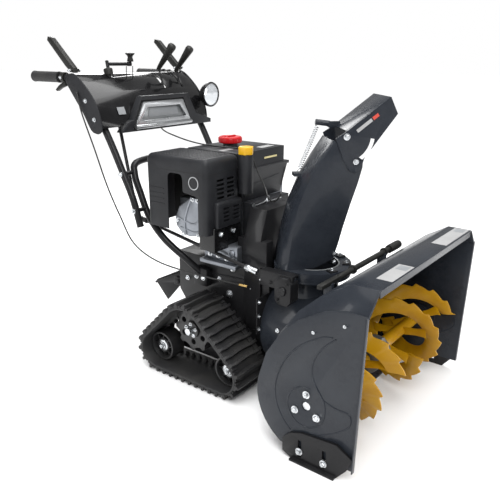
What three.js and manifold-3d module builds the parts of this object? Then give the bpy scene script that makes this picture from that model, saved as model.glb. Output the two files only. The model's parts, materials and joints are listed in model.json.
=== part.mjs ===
// A two-stage snow blower on rubber tracks: auger housing, impeller, turning chute,
// engine on a tracked chassis, and handlebars with a control panel.
// Millimetres. +X is the operator's left, -Y is forward, +Z is up, and the ground is z = 0.
import * as THREE from "three";
import { mergeVertices } from "three/addons/utils/BufferGeometryUtils.js";
import Module from "manifold-3d";

const wasm = await Module();
wasm.setup();

// ---------------------------------------------------------------- driving dimensions
const FIT = 0.4; // gap between faces that touch on the real machine
const RUN = 1.2; // gap round a turning shaft or pin
const SHEET = 3; // steel sheet of the housings and the chute
const MOUTH_TO_MIDDLE = 718; // from the housing mouth (y = 0 below) back to the part's origin

const WORKING_WIDTH = 760; // outside the two side plates
const HOUSING_TOP = 532.5;
const SIDE_TOP = 480; // where the side plates end and the bevelled roof starts
const SIDE_FOOT = 36; // lower edge of the side plates
const ROOF_CREASE = 51; // how far in from each side the flat roof starts, at the mouth
const EDGE_FLANGE = 10; // folded edge round the mouth
const AUGER_Y = 164;
const AUGER_Z = 175;
const AUGER_RADIUS = 146;
const AUGER_BACK_GAP = 14; // from the ribbon's tips to the curved back wall
const RIBBON_WIDTH = 42;
const RIBBON_THICK = 6;
const AUGER_SHAFT_RADIUS = 12.5;
const AUGER_TUBE_RADIUS = 20;
const BEARING_RADIUS = 45;
const BEARING_DEPTH = 14;

const TOOL_Y = 214; // clean-out tool, clipped above the back of the roof
const TOOL_Z = 462;
const TOOL_RADIUS = 9;

const IMPELLER_RISE = 36; // impeller shaft above the auger shaft
const DRUM_RADIUS = 150;
const DRUM_BACK = 488;
const DRUM_MOUTH_RADIUS = DRUM_RADIUS - 8; // hole in the back of the auger housing
const IMPELLER_SHAFT_RADIUS = 12.5;
const BLADES = 4;
const BLADE_TIP_GAP = 8; // from an impeller blade's tip to the drum
const PULLEY_Y = 552; // middle of the belt drive
const IMPELLER_PULLEY_RADIUS = 88;
const CRANK_PULLEY_RADIUS = 38;
const WORM_WHEEL_RADIUS = 26;
const WORM_RADIUS = 8.5;
const GEARBOX_RADIUS = 50;
const GEARBOX_HALF_WIDTH = 40;
const GEARBOX_WALL = 6;

const CHUTE_Y = 390;
const CHUTE_RING_Z = 405; // top of the fixed ring that the chute turns on
const CHUTE_BORE = 84;
const CHUTE_RING_RADIUS = 125;
const CHUTE_HALF_WIDTH = 75;
const CHUTE_TURN = Math.PI / 4; // how far the chute is turned to the operator's left
const CHUTE_BASE = 28; // height of the toothed base ring
const PIVOT_OUT = 68; // deflector pivot, out from the chute's axis
const PIVOT_Z = 842;
const GUIDE_RADIUS = 80; // of the deflector's curved slot about its pivot
const GUIDE_PIN = 5;

const TRACK_INSIDE = 120; // inner face of each track from the middle
const TRACK_WIDTH = 160;
const BELT_THICK = 9;
const LUG_HEIGHT = 16;
const LUG_PITCH = 30;
const IDLER_RADIUS = 53;
const WHEEL_GAP = 2; // between a wheel and the inside of the track belt
const SPROCKET_RADIUS = 81;
const IDLER_FRONT_Y = 555;
const IDLER_REAR_Y = 855;
const DRIVE_Y = 712;
const DRIVE_Z = 184;
const AXLE_RADIUS = 12;
const WHEEL_WIDTH = 60;

const CHASSIS_HALF_WIDTH = 100;
const CHASSIS_FRONT = DRUM_BACK + 1;
const CHASSIS_BACK = 890;
const CHASSIS_TOP = 398;
const CHASSIS_FOOT = 135;
const PEDAL_Y = 914; // pivot of the foot pedal that unlocks the tracks
const PEDAL_Z = 266;
const PEDAL_PIN = 8;
const PEDAL_HALF_WIDTH = 78;
const CRANK_Z = 545; // engine crankshaft height
const CRANK_RADIUS = 13;
const FILLER = [-66, 612]; // oil filler column, from above
const FUEL_CAP = [72, 789]; // fuel cap, from above
const COVER_TOP = 762; // engine cover
const COVER_FOOT = 520;
const COVER_FRONT = 643;
const COVER_BACK = 908;

const BAR_X = 236; // handlebar tubes from the middle
const BAR_RADIUS = 12;
const HOOP_X = 190; // legs of the lower frame from the middle
const GRIP_X = 253;
const GRIP_Z = 990;
const GRIP_RADIUS = 18;
const GRIP_BACK = 1436;
const PANEL_HALF_WIDTH = 262;
const PANEL_WALL = 3;
const SHIFT_X = 92; // speed lever
const HOOD_X = 185; // deflector lever
const LAMP_X = 256;

// ---------------------------------------------------------------- materials
const finish = (color, roughness, metalness) =>
  new THREE.MeshStandardMaterial({ color, roughness, metalness });
const slate = finish(0x2b2f36, 0.35, 0.5);
const mustard = finish(0xb8860f, 0.45, 0.3);
const chassisBlack = finish(0x17181a, 0.4, 0.4);
const rubber = finish(0x202022, 0.85, 0);
const plastic = finish(0x35373b, 0.55, 0);
const glossBlack = finish(0x0c0d0d, 0.15, 0.1);
const zinc = finish(0xbfc3c8, 0.3, 0.9);
const castAlloy = finish(0x9aa0a6, 0.45, 0.8);
const red = finish(0xb5121b, 0.35, 0);
const yellow = finish(0xe2a90c, 0.4, 0);

// ---------------------------------------------------------------- solids
// A closed geometry as a solid that can be cut and joined.
function solid(geometry) {
  const bare = geometry.index ? geometry.toNonIndexed() : geometry.clone();
  bare.deleteAttribute("normal");
  bare.deleteAttribute("uv");
  const merged = mergeVertices(bare, 1e-3);
  return new wasm.Manifold(
    new wasm.Mesh({
      numProp: 3,
      vertProperties: merged.attributes.position.array,
      triVerts: new Uint32Array(merged.index.array),
    }),
  );
}

// A solid back as a geometry.
function geometryOf(made) {
  const mesh = made.getMesh();
  const geometry = new THREE.BufferGeometry();
  geometry.setAttribute("position", new THREE.Float32BufferAttribute(mesh.vertProperties, 3));
  geometry.setIndex(new THREE.Uint32BufferAttribute(mesh.triVerts, 1));
  return geometry;
}

const join = (...parts) => parts.reduce((whole, part) => whole.add(part));

// A geometry from points and triangles, turned so that its faces point out.
function closedBody(points, triangles) {
  const volume = triangles.reduce((sum, [a, b, c]) => {
    const across = points[b].clone().cross(points[c]);
    return sum + points[a].dot(across);
  }, 0);
  const order = volume < 0 ? triangles.map(([a, b, c]) => [a, c, b]) : triangles;
  const geometry = new THREE.BufferGeometry().setFromPoints(points);
  geometry.setIndex(order.flat());
  return geometry;
}

// A sheet of even thickness under a grid of outer points; `inward` is a point on its inner side.
function sheet(rows, thickness, inward) {
  const across = rows[0].length;
  const outer = rows.flat();
  const faces = [];
  const quad = (a, b, c, d) => faces.push([a, b, c], [a, c, d]);
  for (let i = 0; i + 1 < rows.length; i++)
    for (let j = 0; j + 1 < across; j++) {
      const at = i * across + j;
      quad(at, at + 1, at + across + 1, at + across);
    }
  const skin = new THREE.BufferGeometry().setFromPoints(outer);
  skin.setIndex(faces.flat());
  skin.computeVertexNormals();
  const inner = outer.map((point, i) => {
    const normal = new THREE.Vector3().fromBufferAttribute(skin.attributes.normal, i);
    const away = point.clone().sub(inward);
    const side = normal.dot(away) < 0 ? 1 : -1;
    return point.clone().addScaledVector(normal, side * thickness);
  });
  const half = outer.length;
  faces.push(...faces.map(([a, b, c]) => [a + half, c + half, b + half]));
  const rim = (a, b) => quad(b, a, a + half, b + half);
  for (let j = 0; j + 1 < across; j++) {
    rim(j, j + 1);
    rim(half - across + j + 1, half - across + j);
  }
  for (let i = 0; i + 1 < rows.length; i++) {
    rim((i + 1) * across, i * across);
    rim((i + 1) * across - 1, (i + 2) * across - 1);
  }
  return solid(closedBody([...outer, ...inner], faces));
}

// A bar through a list of rings of points, closed at both ends by flat convex caps.
function loft(rings) {
  const round = rings[0].length;
  const faces = [];
  for (let i = 0; i + 1 < rings.length; i++)
    for (let j = 0; j < round; j++) {
      const [a, b] = [i * round + j, i * round + ((j + 1) % round)];
      faces.push([a, b, b + round], [a, b + round, a + round]);
    }
  const last = (rings.length - 1) * round;
  for (let j = 1; j + 1 < round; j++) faces.push([0, j + 1, j], [last, last + j, last + j + 1]);
  return solid(closedBody(rings.flat(), faces));
}

function box([x0, x1], [y0, y1], [z0, z1]) {
  const made = new THREE.BoxGeometry(Math.abs(x1 - x0), Math.abs(y1 - y0), Math.abs(z1 - z0));
  return solid(made.translate((x0 + x1) / 2, (y0 + y1) / 2, (z0 + z1) / 2));
}

// A round bar, or a cone, between two points.
function rod(from, to, radius, { sides = 12, tip = radius } = {}) {
  const [a, b] = [new THREE.Vector3(...from), new THREE.Vector3(...to)];
  const along = b.clone().sub(a);
  const made = new THREE.CylinderGeometry(tip, radius, along.length(), sides);
  const turn = new THREE.Quaternion().setFromUnitVectors(
    new THREE.Vector3(0, 1, 0), along.normalize());
  made.applyQuaternion(turn);
  return solid(made.translate(...a.add(b).multiplyScalar(0.5).toArray()));
}

// A round profile of [radius, height] pairs turned about the line through `at` along `axis`.
function turned(profile, at, axis, sides = 24) {
  const made = new THREE.LatheGeometry(profile.map(([r, h]) => new THREE.Vector2(r, h)), sides);
  const turn = new THREE.Quaternion().setFromUnitVectors(
    new THREE.Vector3(0, 1, 0), new THREE.Vector3(...axis));
  made.applyQuaternion(turn).translate(...at);
  const body = solid(made);
  return body.volume() < 0 ? solid(flipped(made)) : body;
}

function flipped(geometry) {
  const made = geometry.index ? geometry.toNonIndexed() : geometry.clone();
  const xyz = made.attributes.position;
  const points = [];
  for (let i = 0; i < xyz.count; i++) points.push(new THREE.Vector3().fromBufferAttribute(xyz, i));
  const order = points.map((point, i) => points[i % 3 === 1 ? i + 1 : i % 3 === 2 ? i - 1 : i]);
  return new THREE.BufferGeometry().setFromPoints(order);
}

const shapeOf = (outline) => new THREE.Shape(outline.map(([u, v]) => new THREE.Vector2(u, v)));
const extruded = (shape, depth) =>
  new THREE.ExtrudeGeometry(shape, { depth, bevelEnabled: false, curveSegments: 8 });

// An outline in (y, z) pushed along X, in (x, z) along Y, or in (x, y) along Z.
function alongX(outline, x0, x1) {
  const made = extruded(shapeOf(outline), Math.abs(x1 - x0));
  const turn = new THREE.Matrix4().set(0, 0, 1, 0, 1, 0, 0, 0, 0, 1, 0, 0, 0, 0, 0, 1);
  return solid(made.applyMatrix4(turn).translate(Math.min(x0, x1), 0, 0));
}
function alongY(outline, y0, y1) {
  const made = extruded(shapeOf(outline), Math.abs(y1 - y0));
  return solid(made.rotateX(Math.PI / 2).translate(0, Math.max(y0, y1), 0));
}
function alongZ(outline, z0, z1) {
  return solid(extruded(shapeOf(outline), z1 - z0).translate(0, 0, z0));
}

// A tube or rod of round section along a smooth line through the points.
function tube(points, radius, steps, sides = 8) {
  const line = new THREE.CatmullRomCurve3(
    points.map((point) => new THREE.Vector3(...point)), false, "centripetal");
  const section = [];
  for (let i = 0; i < sides; i++) {
    const angle = (i / sides) * 2 * Math.PI;
    section.push([radius * Math.cos(angle), radius * Math.sin(angle)]);
  }
  return solid(new THREE.ExtrudeGeometry(shapeOf(section), { steps, extrudePath: line }));
}

// Points of a round arc: centre, radius, and the first and last angle in degrees.
function arc([u, v], radius, from, to, count) {
  const points = [];
  for (let i = 0; i <= count; i++) {
    const angle = ((from + ((to - from) * i) / count) * Math.PI) / 180;
    points.push([u + radius * Math.cos(angle), v + radius * Math.sin(angle)]);
  }
  return points;
}

// A slot of the given width along a line of points, as an outline.
function band(points, width) {
  const side = (shift) =>
    points.map(([u, v], i) => {
      const [a, b] = [points[Math.max(i - 1, 0)], points[Math.min(i + 1, points.length - 1)]];
      const length = Math.hypot(b[0] - a[0], b[1] - a[1]);
      return [u - ((b[1] - a[1]) / length) * shift, v + ((b[0] - a[0]) / length) * shift];
    });
  return [...side(width / 2), ...side(-width / 2).reverse()];
}

const machine = new THREE.Group();
machine.position.y = -MOUTH_TO_MIDDLE;
const whole = new THREE.Group();
whole.add(machine);

function piece(name, made, material, parent = machine) {
  const mesh = new THREE.Mesh(geometryOf(made), material);
  mesh.name = name;
  parent.add(mesh);
}

// The operator's right is -X and the left is +X.
const SIDES = [["right", -1], ["left", 1]];
const impellerZ = AUGER_Z + IMPELLER_RISE;

// ---------------------------------------------------------------- auger housing
const halfWidth = WORKING_WIDTH / 2;
const wrapHalf = halfWidth - SHEET - FIT; // half-width of the wrap, between the side plates
const backRadius = AUGER_RADIUS + AUGER_BACK_GAP + SHEET;
const backArc = arc([AUGER_Y, AUGER_Z], backRadius, -60, 12, 8);
const roofLine = [[297, 294], [252, 364], [198, 418], [119, 465], [62, SIDE_TOP]];
const sideOutline = [[13, SIDE_FOOT], ...backArc, ...roofLine, [0, SIDE_TOP]];

const creases = [ // where the roof's flat part ends: in from the side plate, y and z
  [ROOF_CREASE, 0, HOUSING_TOP], [ROOF_CREASE - 3, 75, HOUSING_TOP],
  [32, 155, 484], [16, 205, 438], [6, 254, 368],
];

function buildHousing() {
  const sides = [[0, SIDE_TOP], [62, SIDE_TOP], [119, 465], [198, 418], [252, 364]];
  const roofRow = ([inset, y, z], [sideY, sideZ]) => {
    const crease = halfWidth - inset;
    return [
      new THREE.Vector3(-wrapHalf, sideY, sideZ), new THREE.Vector3(-crease, y, z),
      new THREE.Vector3(crease, y, z), new THREE.Vector3(wrapHalf, sideY, sideZ),
    ];
  };
  const backRow = ([y, z]) =>
    [-wrapHalf, -halfWidth + 8, halfWidth - 8, wrapHalf].map((x) => new THREE.Vector3(x, y, z));
  const roof = creases.map((crease, i) => roofRow(crease, sides[i]));
  const back = [roofLine[0], ...[...backArc].reverse()].map(backRow);
  const wrap = sheet([...roof, ...back], SHEET, new THREE.Vector3(0, AUGER_Y, AUGER_Z));
  const lip = box([-wrapHalf + ROOF_CREASE, wrapHalf - ROOF_CREASE], [0, SHEET],
    [HOUSING_TOP - 22, HOUSING_TOP - 1]);
  const mouth = rod([0, 200, impellerZ], [0, 400, impellerZ], DRUM_MOUTH_RADIUS, { sides: 32 });
  const [heelY, heelZ] = backArc[0];
  const scraper = [
    [heelY + 4, heelZ - 2], [heelY + 2, heelZ + 4], [heelY - 44, 12], [heelY - 44, 6],
    [heelY - 38, 6],
  ];
  const edge = alongX(scraper, -wrapHalf + 2, wrapHalf - 2);
  const clips = [-205, 130].map((x) => box([x, x + 14],
    [TOOL_Y - TOOL_RADIUS - 4, TOOL_Y + TOOL_RADIUS + 4], [422, TOOL_Z]));
  const cradle = rod([-halfWidth, TOOL_Y, TOOL_Z], [halfWidth, TOOL_Y, TOOL_Z],
    TOOL_RADIUS + FIT);
  const held = join(...clips).subtract(cradle);
  piece("auger_housing", join(wrap, lip, edge, held).subtract(mouth), slate);

  for (const [side, s] of SIDES) {
    const plate = alongX(sideOutline, s * (halfWidth - SHEET), s * halfWidth);
    const edge = [[13, SIDE_FOOT], [13 + SHEET, SIDE_FOOT], [SHEET, SIDE_TOP], [0, SIDE_TOP]];
    const flange = alongX(edge, s * (halfWidth - 1), s * (halfWidth + EDGE_FLANGE));
    const inner = halfWidth - SHEET - BEARING_DEPTH;
    const bearing = rod([s * inner, AUGER_Y, AUGER_Z], [s * (halfWidth - 1), AUGER_Y, AUGER_Z],
      BEARING_RADIUS, { sides: 24 });
    const bore = rod([s * (inner - 5), AUGER_Y, AUGER_Z], [s * (halfWidth + 5), AUGER_Y, AUGER_Z],
      AUGER_SHAFT_RADIUS + RUN);
    piece(`side_plate_${side}`, join(plate, flange, bearing).subtract(bore), slate);
  }

  const shoe = [
    [13, 74], [31, 37], [61, 0], [201, 0], [231, 14], [232, 56], [207, 80], [172, 93], [64, 102],
  ];
  for (const [side, s] of SIDES) {
    const [x0, x1] = [halfWidth + FIT, halfWidth + FIT + 8];
    const slot = (y) => box([s * (x0 - 5), s * (x1 + 5)], [y - 6, y + 6], [15, 68]);
    const sole = box([s * x0, s * (x1 + 12)], [61, 201], [0, 6]);
    const plate = alongX(shoe, s * x0, s * x1).subtract(slot(98)).subtract(slot(175));
    const clearOfEdge = box([s * x0 - 20, s * x0 + 20], [-20, 16 + FIT], [SIDE_FOOT - 5, 200]);
    piece(`skid_shoe_${side}`, plate.add(sole).subtract(clearOfEdge), chassisBlack);
  }
}

// ---------------------------------------------------------------- auger
function buildAuger() {
  const shaftEnd = halfWidth - 2;
  const shaft = rod([-shaftEnd, AUGER_Y, AUGER_Z], [shaftEnd, AUGER_Y, AUGER_Z],
    AUGER_SHAFT_RADIUS);
  const wheel = rod([-9, AUGER_Y, AUGER_Z], [9, AUGER_Y, AUGER_Z], WORM_WHEEL_RADIUS,
    { sides: 24 });
  piece("auger_shaft", shaft.add(wheel), zinc);

  const tubeStart = GEARBOX_HALF_WIDTH + 4;
  const tubeEnd = halfWidth - SHEET - BEARING_DEPTH - 4;
  const flightEnd = tubeEnd - 2;
  const inner = AUGER_RADIUS - RIBBON_WIDTH;
  const about = (x, angle, radius) =>
    new THREE.Vector3(x, AUGER_Y + radius * Math.cos(angle), AUGER_Z + radius * Math.sin(angle));
  for (const [side, s] of SIDES) {
    const hollow = rod([s * tubeStart, AUGER_Y, AUGER_Z], [s * tubeEnd, AUGER_Y, AUGER_Z],
      AUGER_TUBE_RADIUS);
    const bore = rod([s * (tubeStart - 5), AUGER_Y, AUGER_Z], [s * (tubeEnd + 5), AUGER_Y, AUGER_Z],
      AUGER_SHAFT_RADIUS + RUN / 2);
    let made = hollow;
    for (const start of [0, Math.PI]) {
      const steps = 14;
      const first = GEARBOX_HALF_WIDTH + 22;
      const travel = flightEnd - RIBBON_THICK - first;
      const place = (share) => [s * (first + travel * share), start + s * share * 1.9 * Math.PI];
      const rings = [];
      for (let i = 0; i <= steps; i++) {
        const [x, angle] = place(i / steps);
        rings.push([
          about(x, angle, inner), about(x, angle, AUGER_RADIUS),
          about(x + s * RIBBON_THICK, angle, AUGER_RADIUS), about(x + s * RIBBON_THICK, angle, inner),
        ]);
      }
      made = made.add(loft(rings));
      for (const share of [0.03, 0.5, 0.97]) {
        const [x, angle] = place(share);
        made = made.add(rod(about(x + s * 3, angle, AUGER_TUBE_RADIUS - 4).toArray(),
          about(x + s * 3, angle, inner + 10).toArray(), 9, { sides: 8 }));
      }
    }
    piece(`auger_${side}`, made.subtract(bore), mustard);
  }

  const casing = (radius, reach, snout) => join(
    rod([-reach, AUGER_Y, AUGER_Z], [reach, AUGER_Y, AUGER_Z], radius, { sides: 20 }),
    rod([0, AUGER_Y - radius * 0.7, impellerZ], [0, snout, impellerZ], radius * 0.56),
  );
  const shaftBore = rod([-60, AUGER_Y, AUGER_Z], [60, AUGER_Y, AUGER_Z], AUGER_SHAFT_RADIUS + RUN);
  const wormBore = rod([0, AUGER_Y, impellerZ], [0, 400, impellerZ], IMPELLER_SHAFT_RADIUS + RUN);
  const hollow = casing(GEARBOX_RADIUS - GEARBOX_WALL, GEARBOX_HALF_WIDTH - GEARBOX_WALL,
    AUGER_Y + 80 - GEARBOX_WALL);
  piece("auger_gearbox",
    casing(GEARBOX_RADIUS, GEARBOX_HALF_WIDTH, AUGER_Y + 80).subtract(hollow).subtract(shaftBore)
      .subtract(wormBore), castAlloy);
}

// ---------------------------------------------------------------- impeller and its drum
function buildImpeller() {
  const outlet = [0, CHUTE_Y];
  const drum = rod([0, 220, impellerZ], [0, DRUM_BACK, impellerZ], DRUM_RADIUS, { sides: 28 });
  const hollow = rod([0, 200, impellerZ], [0, DRUM_BACK - SHEET, impellerZ], DRUM_RADIUS - SHEET,
    { sides: 28 });
  const neck = rod([...outlet, impellerZ + 90], [...outlet, CHUTE_RING_Z], CHUTE_BORE + SHEET,
    { sides: 32 });
  const flange = rod([...outlet, CHUTE_RING_Z - 6], [...outlet, CHUTE_RING_Z], CHUTE_RING_RADIUS,
    { sides: 32 });
  const neckBore = rod([...outlet, impellerZ], [...outlet, CHUTE_RING_Z + 10], CHUTE_BORE,
    { sides: 32 });
  const profile = [[0, SIDE_FOOT], ...backArc, roofLine[0],
    ...creases.map(([, y, z]) => [y, z]).reverse()];
  const grown = profile.map(([y, z]) => {
    const reach = Math.hypot(y - AUGER_Y, z - AUGER_Z);
    return [y + ((y - AUGER_Y) / reach) * FIT * 2, z + ((z - AUGER_Z) / reach) * FIT * 2];
  });
  const inHousing = alongX(grown, -halfWidth, halfWidth);
  const shaftHole = rod([0, DRUM_BACK - 20, impellerZ], [0, DRUM_BACK + 20, impellerZ],
    IMPELLER_SHAFT_RADIUS + RUN);
  const made = join(drum, neck, flange).subtract(hollow).subtract(neckBore).subtract(inHousing)
    .subtract(shaftHole);
  piece("impeller_housing", made, slate);

  const shaft = join(
    rod([0, AUGER_Y - 12, impellerZ], [0, AUGER_Y + 30, impellerZ], WORM_RADIUS),
    rod([0, AUGER_Y + 28, impellerZ], [0, PULLEY_Y + 20, impellerZ], IMPELLER_SHAFT_RADIUS),
  );
  piece("impeller_shaft", shaft.add(pulley(IMPELLER_PULLEY_RADIUS, impellerZ)), zinc);

  const [front, back] = [355, 425];
  const hub = rod([0, front - 10, impellerZ], [0, back + 20, impellerZ], 24);
  const bore = rod([0, front - 20, impellerZ], [0, back + 30, impellerZ],
    IMPELLER_SHAFT_RADIUS + RUN / 2);
  const reach = DRUM_RADIUS - SHEET - BLADE_TIP_GAP;
  let wheel = hub;
  for (let i = 0; i < BLADES; i++) {
    const blade = join(
      box([-3, 3], [front, back], [15, reach]),
      box([-3, 22], [front, back], [reach - 6, reach - 1]),
    );
    wheel = wheel.add(blade.rotate([0, (i * 360) / BLADES, 0]).translate([0, 0, impellerZ]));
  }
  piece("impeller", wheel.subtract(bore), mustard);
}

// ---------------------------------------------------------------- belt drive
// A pulley keyed to its shaft, with a groove for the belt.
const pulley = (radius, z) => turned(
  [[0, -14], [radius, -14], [radius, -10], [radius - 10, -5], [radius - 10, 5], [radius, 10],
    [radius, 14], [0, 14]], [0, PULLEY_Y, z], [0, 1, 0], 28);

function buildDrive() {
  const ridge = (extra) => {
    const low = IMPELLER_PULLEY_RADIUS - 9 + extra;
    const high = CRANK_PULLEY_RADIUS - 9 + extra;
    const tilt = (Math.asin((low - high) / (CRANK_Z - impellerZ)) * 180) / Math.PI;
    return [
      ...arc([0, impellerZ], low, 180 - tilt, 360 + tilt, 14),
      ...arc([0, CRANK_Z], high, tilt, 180 - tilt, 8),
    ];
  };
  const belt = alongY(ridge(8), PULLEY_Y - 4.5, PULLEY_Y + 4.5)
    .subtract(alongY(ridge(0), PULLEY_Y - 8, PULLEY_Y + 8));
  piece("drive_belt", belt, rubber);

  const cover = [[-108, 190], [-108, 500], [-74, 596], [74, 596], [108, 500], [108, 190], [60, 120],
    [-60, 120]];
  const inner = cover.map(([x, z]) => [x * 0.965, 400 + (z - 400) * 0.985]);
  const [front, back] = [CHUTE_Y + CHUTE_RING_RADIUS + 5, 586];
  const bulge = (x, y) => box(x, y, [CHASSIS_TOP + 15, 500]);
  const shell = alongY(cover, front, back)
    .subtract(alongY(inner, front + SHEET, back - SHEET))
    .add(bulge([-108, -72], [496, front + 1])).add(bulge([-108, -45], [back - 1, 612]));
  const shaftHole = join(
    rod([0, back - 20, CRANK_Z], [0, back + 20, CRANK_Z], CRANK_RADIUS + RUN),
    rod([0, front - 10, impellerZ], [0, back, impellerZ], IMPELLER_SHAFT_RADIUS + RUN));
  const chassisGap = box([-CHASSIS_HALF_WIDTH - FIT, CHASSIS_HALF_WIDTH + FIT],
    [front - 20, back + 20], [0, CHASSIS_TOP + FIT]);
  piece("belt_cover", shell.subtract(shaftHole).subtract(chassisGap), glossBlack);
}

// ---------------------------------------------------------------- chassis and transmission
function buildChassis() {
  const w = CHASSIS_HALF_WIDTH;
  const side = [
    [CHASSIS_FRONT, CHASSIS_FOOT - 50], [CHASSIS_FRONT, CHASSIS_TOP], [CHASSIS_BACK, CHASSIS_TOP],
    [CHASSIS_BACK, 250], [DRIVE_Y + 90, CHASSIS_FOOT], [CHASSIS_FRONT + 90, CHASSIS_FOOT],
    [CHASSIS_FRONT + 20, CHASSIS_FOOT - 50],
  ];
  const outer = alongX(side, -w, w);
  const hollow = box([-w + SHEET, w - SHEET], [CHASSIS_FRONT + 4, CHASSIS_BACK - SHEET],
    [0, CHASSIS_TOP - SHEET]);
  const front = alongY([[-165, 330], [165, 330], [165, 205], [w, 205], [w, 90], [-w, 90], [-w, 205],
    [-165, 205]], CHASSIS_FRONT, CHASSIS_FRONT + 4);
  const axle = rod([-200, DRIVE_Y, DRIVE_Z], [200, DRIVE_Y, DRIVE_Z], AXLE_RADIUS + RUN);
  const shaft = rod([0, 450, impellerZ], [0, 550, impellerZ], IMPELLER_SHAFT_RADIUS + 6);
  const beltGap = box([-95, 95], [CHASSIS_FRONT + 10, 584], [CHASSIS_TOP - 20, CHASSIS_TOP + 20]);
  const ears = join(...[1, -1].map((s) =>
    box([s * (PEDAL_HALF_WIDTH + 4), s * (PEDAL_HALF_WIDTH + 10)], [CHASSIS_BACK - 2, 932],
      [PEDAL_Z - 14, PEDAL_Z + 14])));
  const pedalBore = rod([-w, PEDAL_Y, PEDAL_Z], [w, PEDAL_Y, PEDAL_Z], PEDAL_PIN + RUN);
  piece("chassis", outer.subtract(hollow).add(front).subtract(axle).subtract(shaft)
    .subtract(beltGap).add(ears).subtract(pedalBore), chassisBlack);

  const deep = w - SHEET - 6;
  const gears = join(
    box([-deep, deep], [DRIVE_Y - 70, DRIVE_Y + 60], [DRIVE_Z - 45, DRIVE_Z + 55]),
    rod([0, DRIVE_Y - 90, DRIVE_Z + 80], [0, DRIVE_Y + 40, DRIVE_Z + 80], 38),
  );
  piece("transmission", gears.subtract(axle), castAlloy);

  const reach = TRACK_INSIDE + TRACK_WIDTH - 24;
  piece("drive_axle", rod([-reach, DRIVE_Y, DRIVE_Z], [reach, DRIVE_Y, DRIVE_Z], AXLE_RADIUS), zinc);
}

// ---------------------------------------------------------------- tracks
const beltInside = IDLER_RADIUS + WHEEL_GAP;
const idlerZ = beltInside + BELT_THICK + LUG_HEIGHT;
const wheelCentre = TRACK_INSIDE + TRACK_WIDTH / 2;
// The loop round both idlers and the sprocket, `out` beyond the inside of the belt.
function trackLoop(out, toothed) {
  const wheels = [
    [IDLER_FRONT_Y, idlerZ, beltInside], [IDLER_REAR_Y, idlerZ, beltInside],
    [DRIVE_Y, DRIVE_Z, SPROCKET_RADIUS + WHEEL_GAP],
  ];
  const corners = wheels.map(([y, z, radius], i) => {
    const next = wheels[(i + 1) % wheels.length];
    const [dy, dz] = [next[0] - y, next[1] - z];
    const tilt = Math.acos((radius - next[2]) / Math.hypot(dy, dz));
    return Math.atan2(dz, dy) - tilt;
  });
  const path = [];
  wheels.forEach(([y, z, radius], i) => {
    let from = corners[(i + wheels.length - 1) % wheels.length];
    while (from > corners[i]) from -= 2 * Math.PI;
    const turns = Math.max(2, Math.ceil(((corners[i] - from) * radius) / 16));
    for (let k = 0; k <= turns; k++) {
      const angle = from + ((corners[i] - from) * k) / turns;
      path.push([y + radius * Math.cos(angle), z + radius * Math.sin(angle),
        Math.cos(angle), Math.sin(angle)]);
    }
  });
  if (!toothed) return path.map(([y, z, ny, nz]) => [y + ny * out, z + nz * out]);
  const spans = path.map((point, i) => {
    const next = path[(i + 1) % path.length];
    return Math.hypot(next[0] - point[0], next[1] - point[1]);
  });
  const length = spans.reduce((sum, span) => sum + span, 0);
  const count = Math.round(length / LUG_PITCH);
  const at = (distance) => {
    let left = ((distance % length) + length) % length;
    let i = 0;
    while (left > spans[i]) left -= spans[i++];
    const [a, b] = [path[i], path[(i + 1) % path.length]];
    return a.map((value, k) => value + ((b[k] - value) * left) / spans[i]);
  };
  const outline = [];
  for (let i = 0; i < count; i++)
    for (const [share, height] of [[-0.2, 0], [-0.14, 1], [0.14, 1], [0.2, 0]]) {
      const [y, z, ny, nz] = at(((i + share) * length) / count);
      const reach = out + height * LUG_HEIGHT;
      outline.push([y + ny * reach, z + nz * reach]);
    }
  return outline;
}

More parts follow.
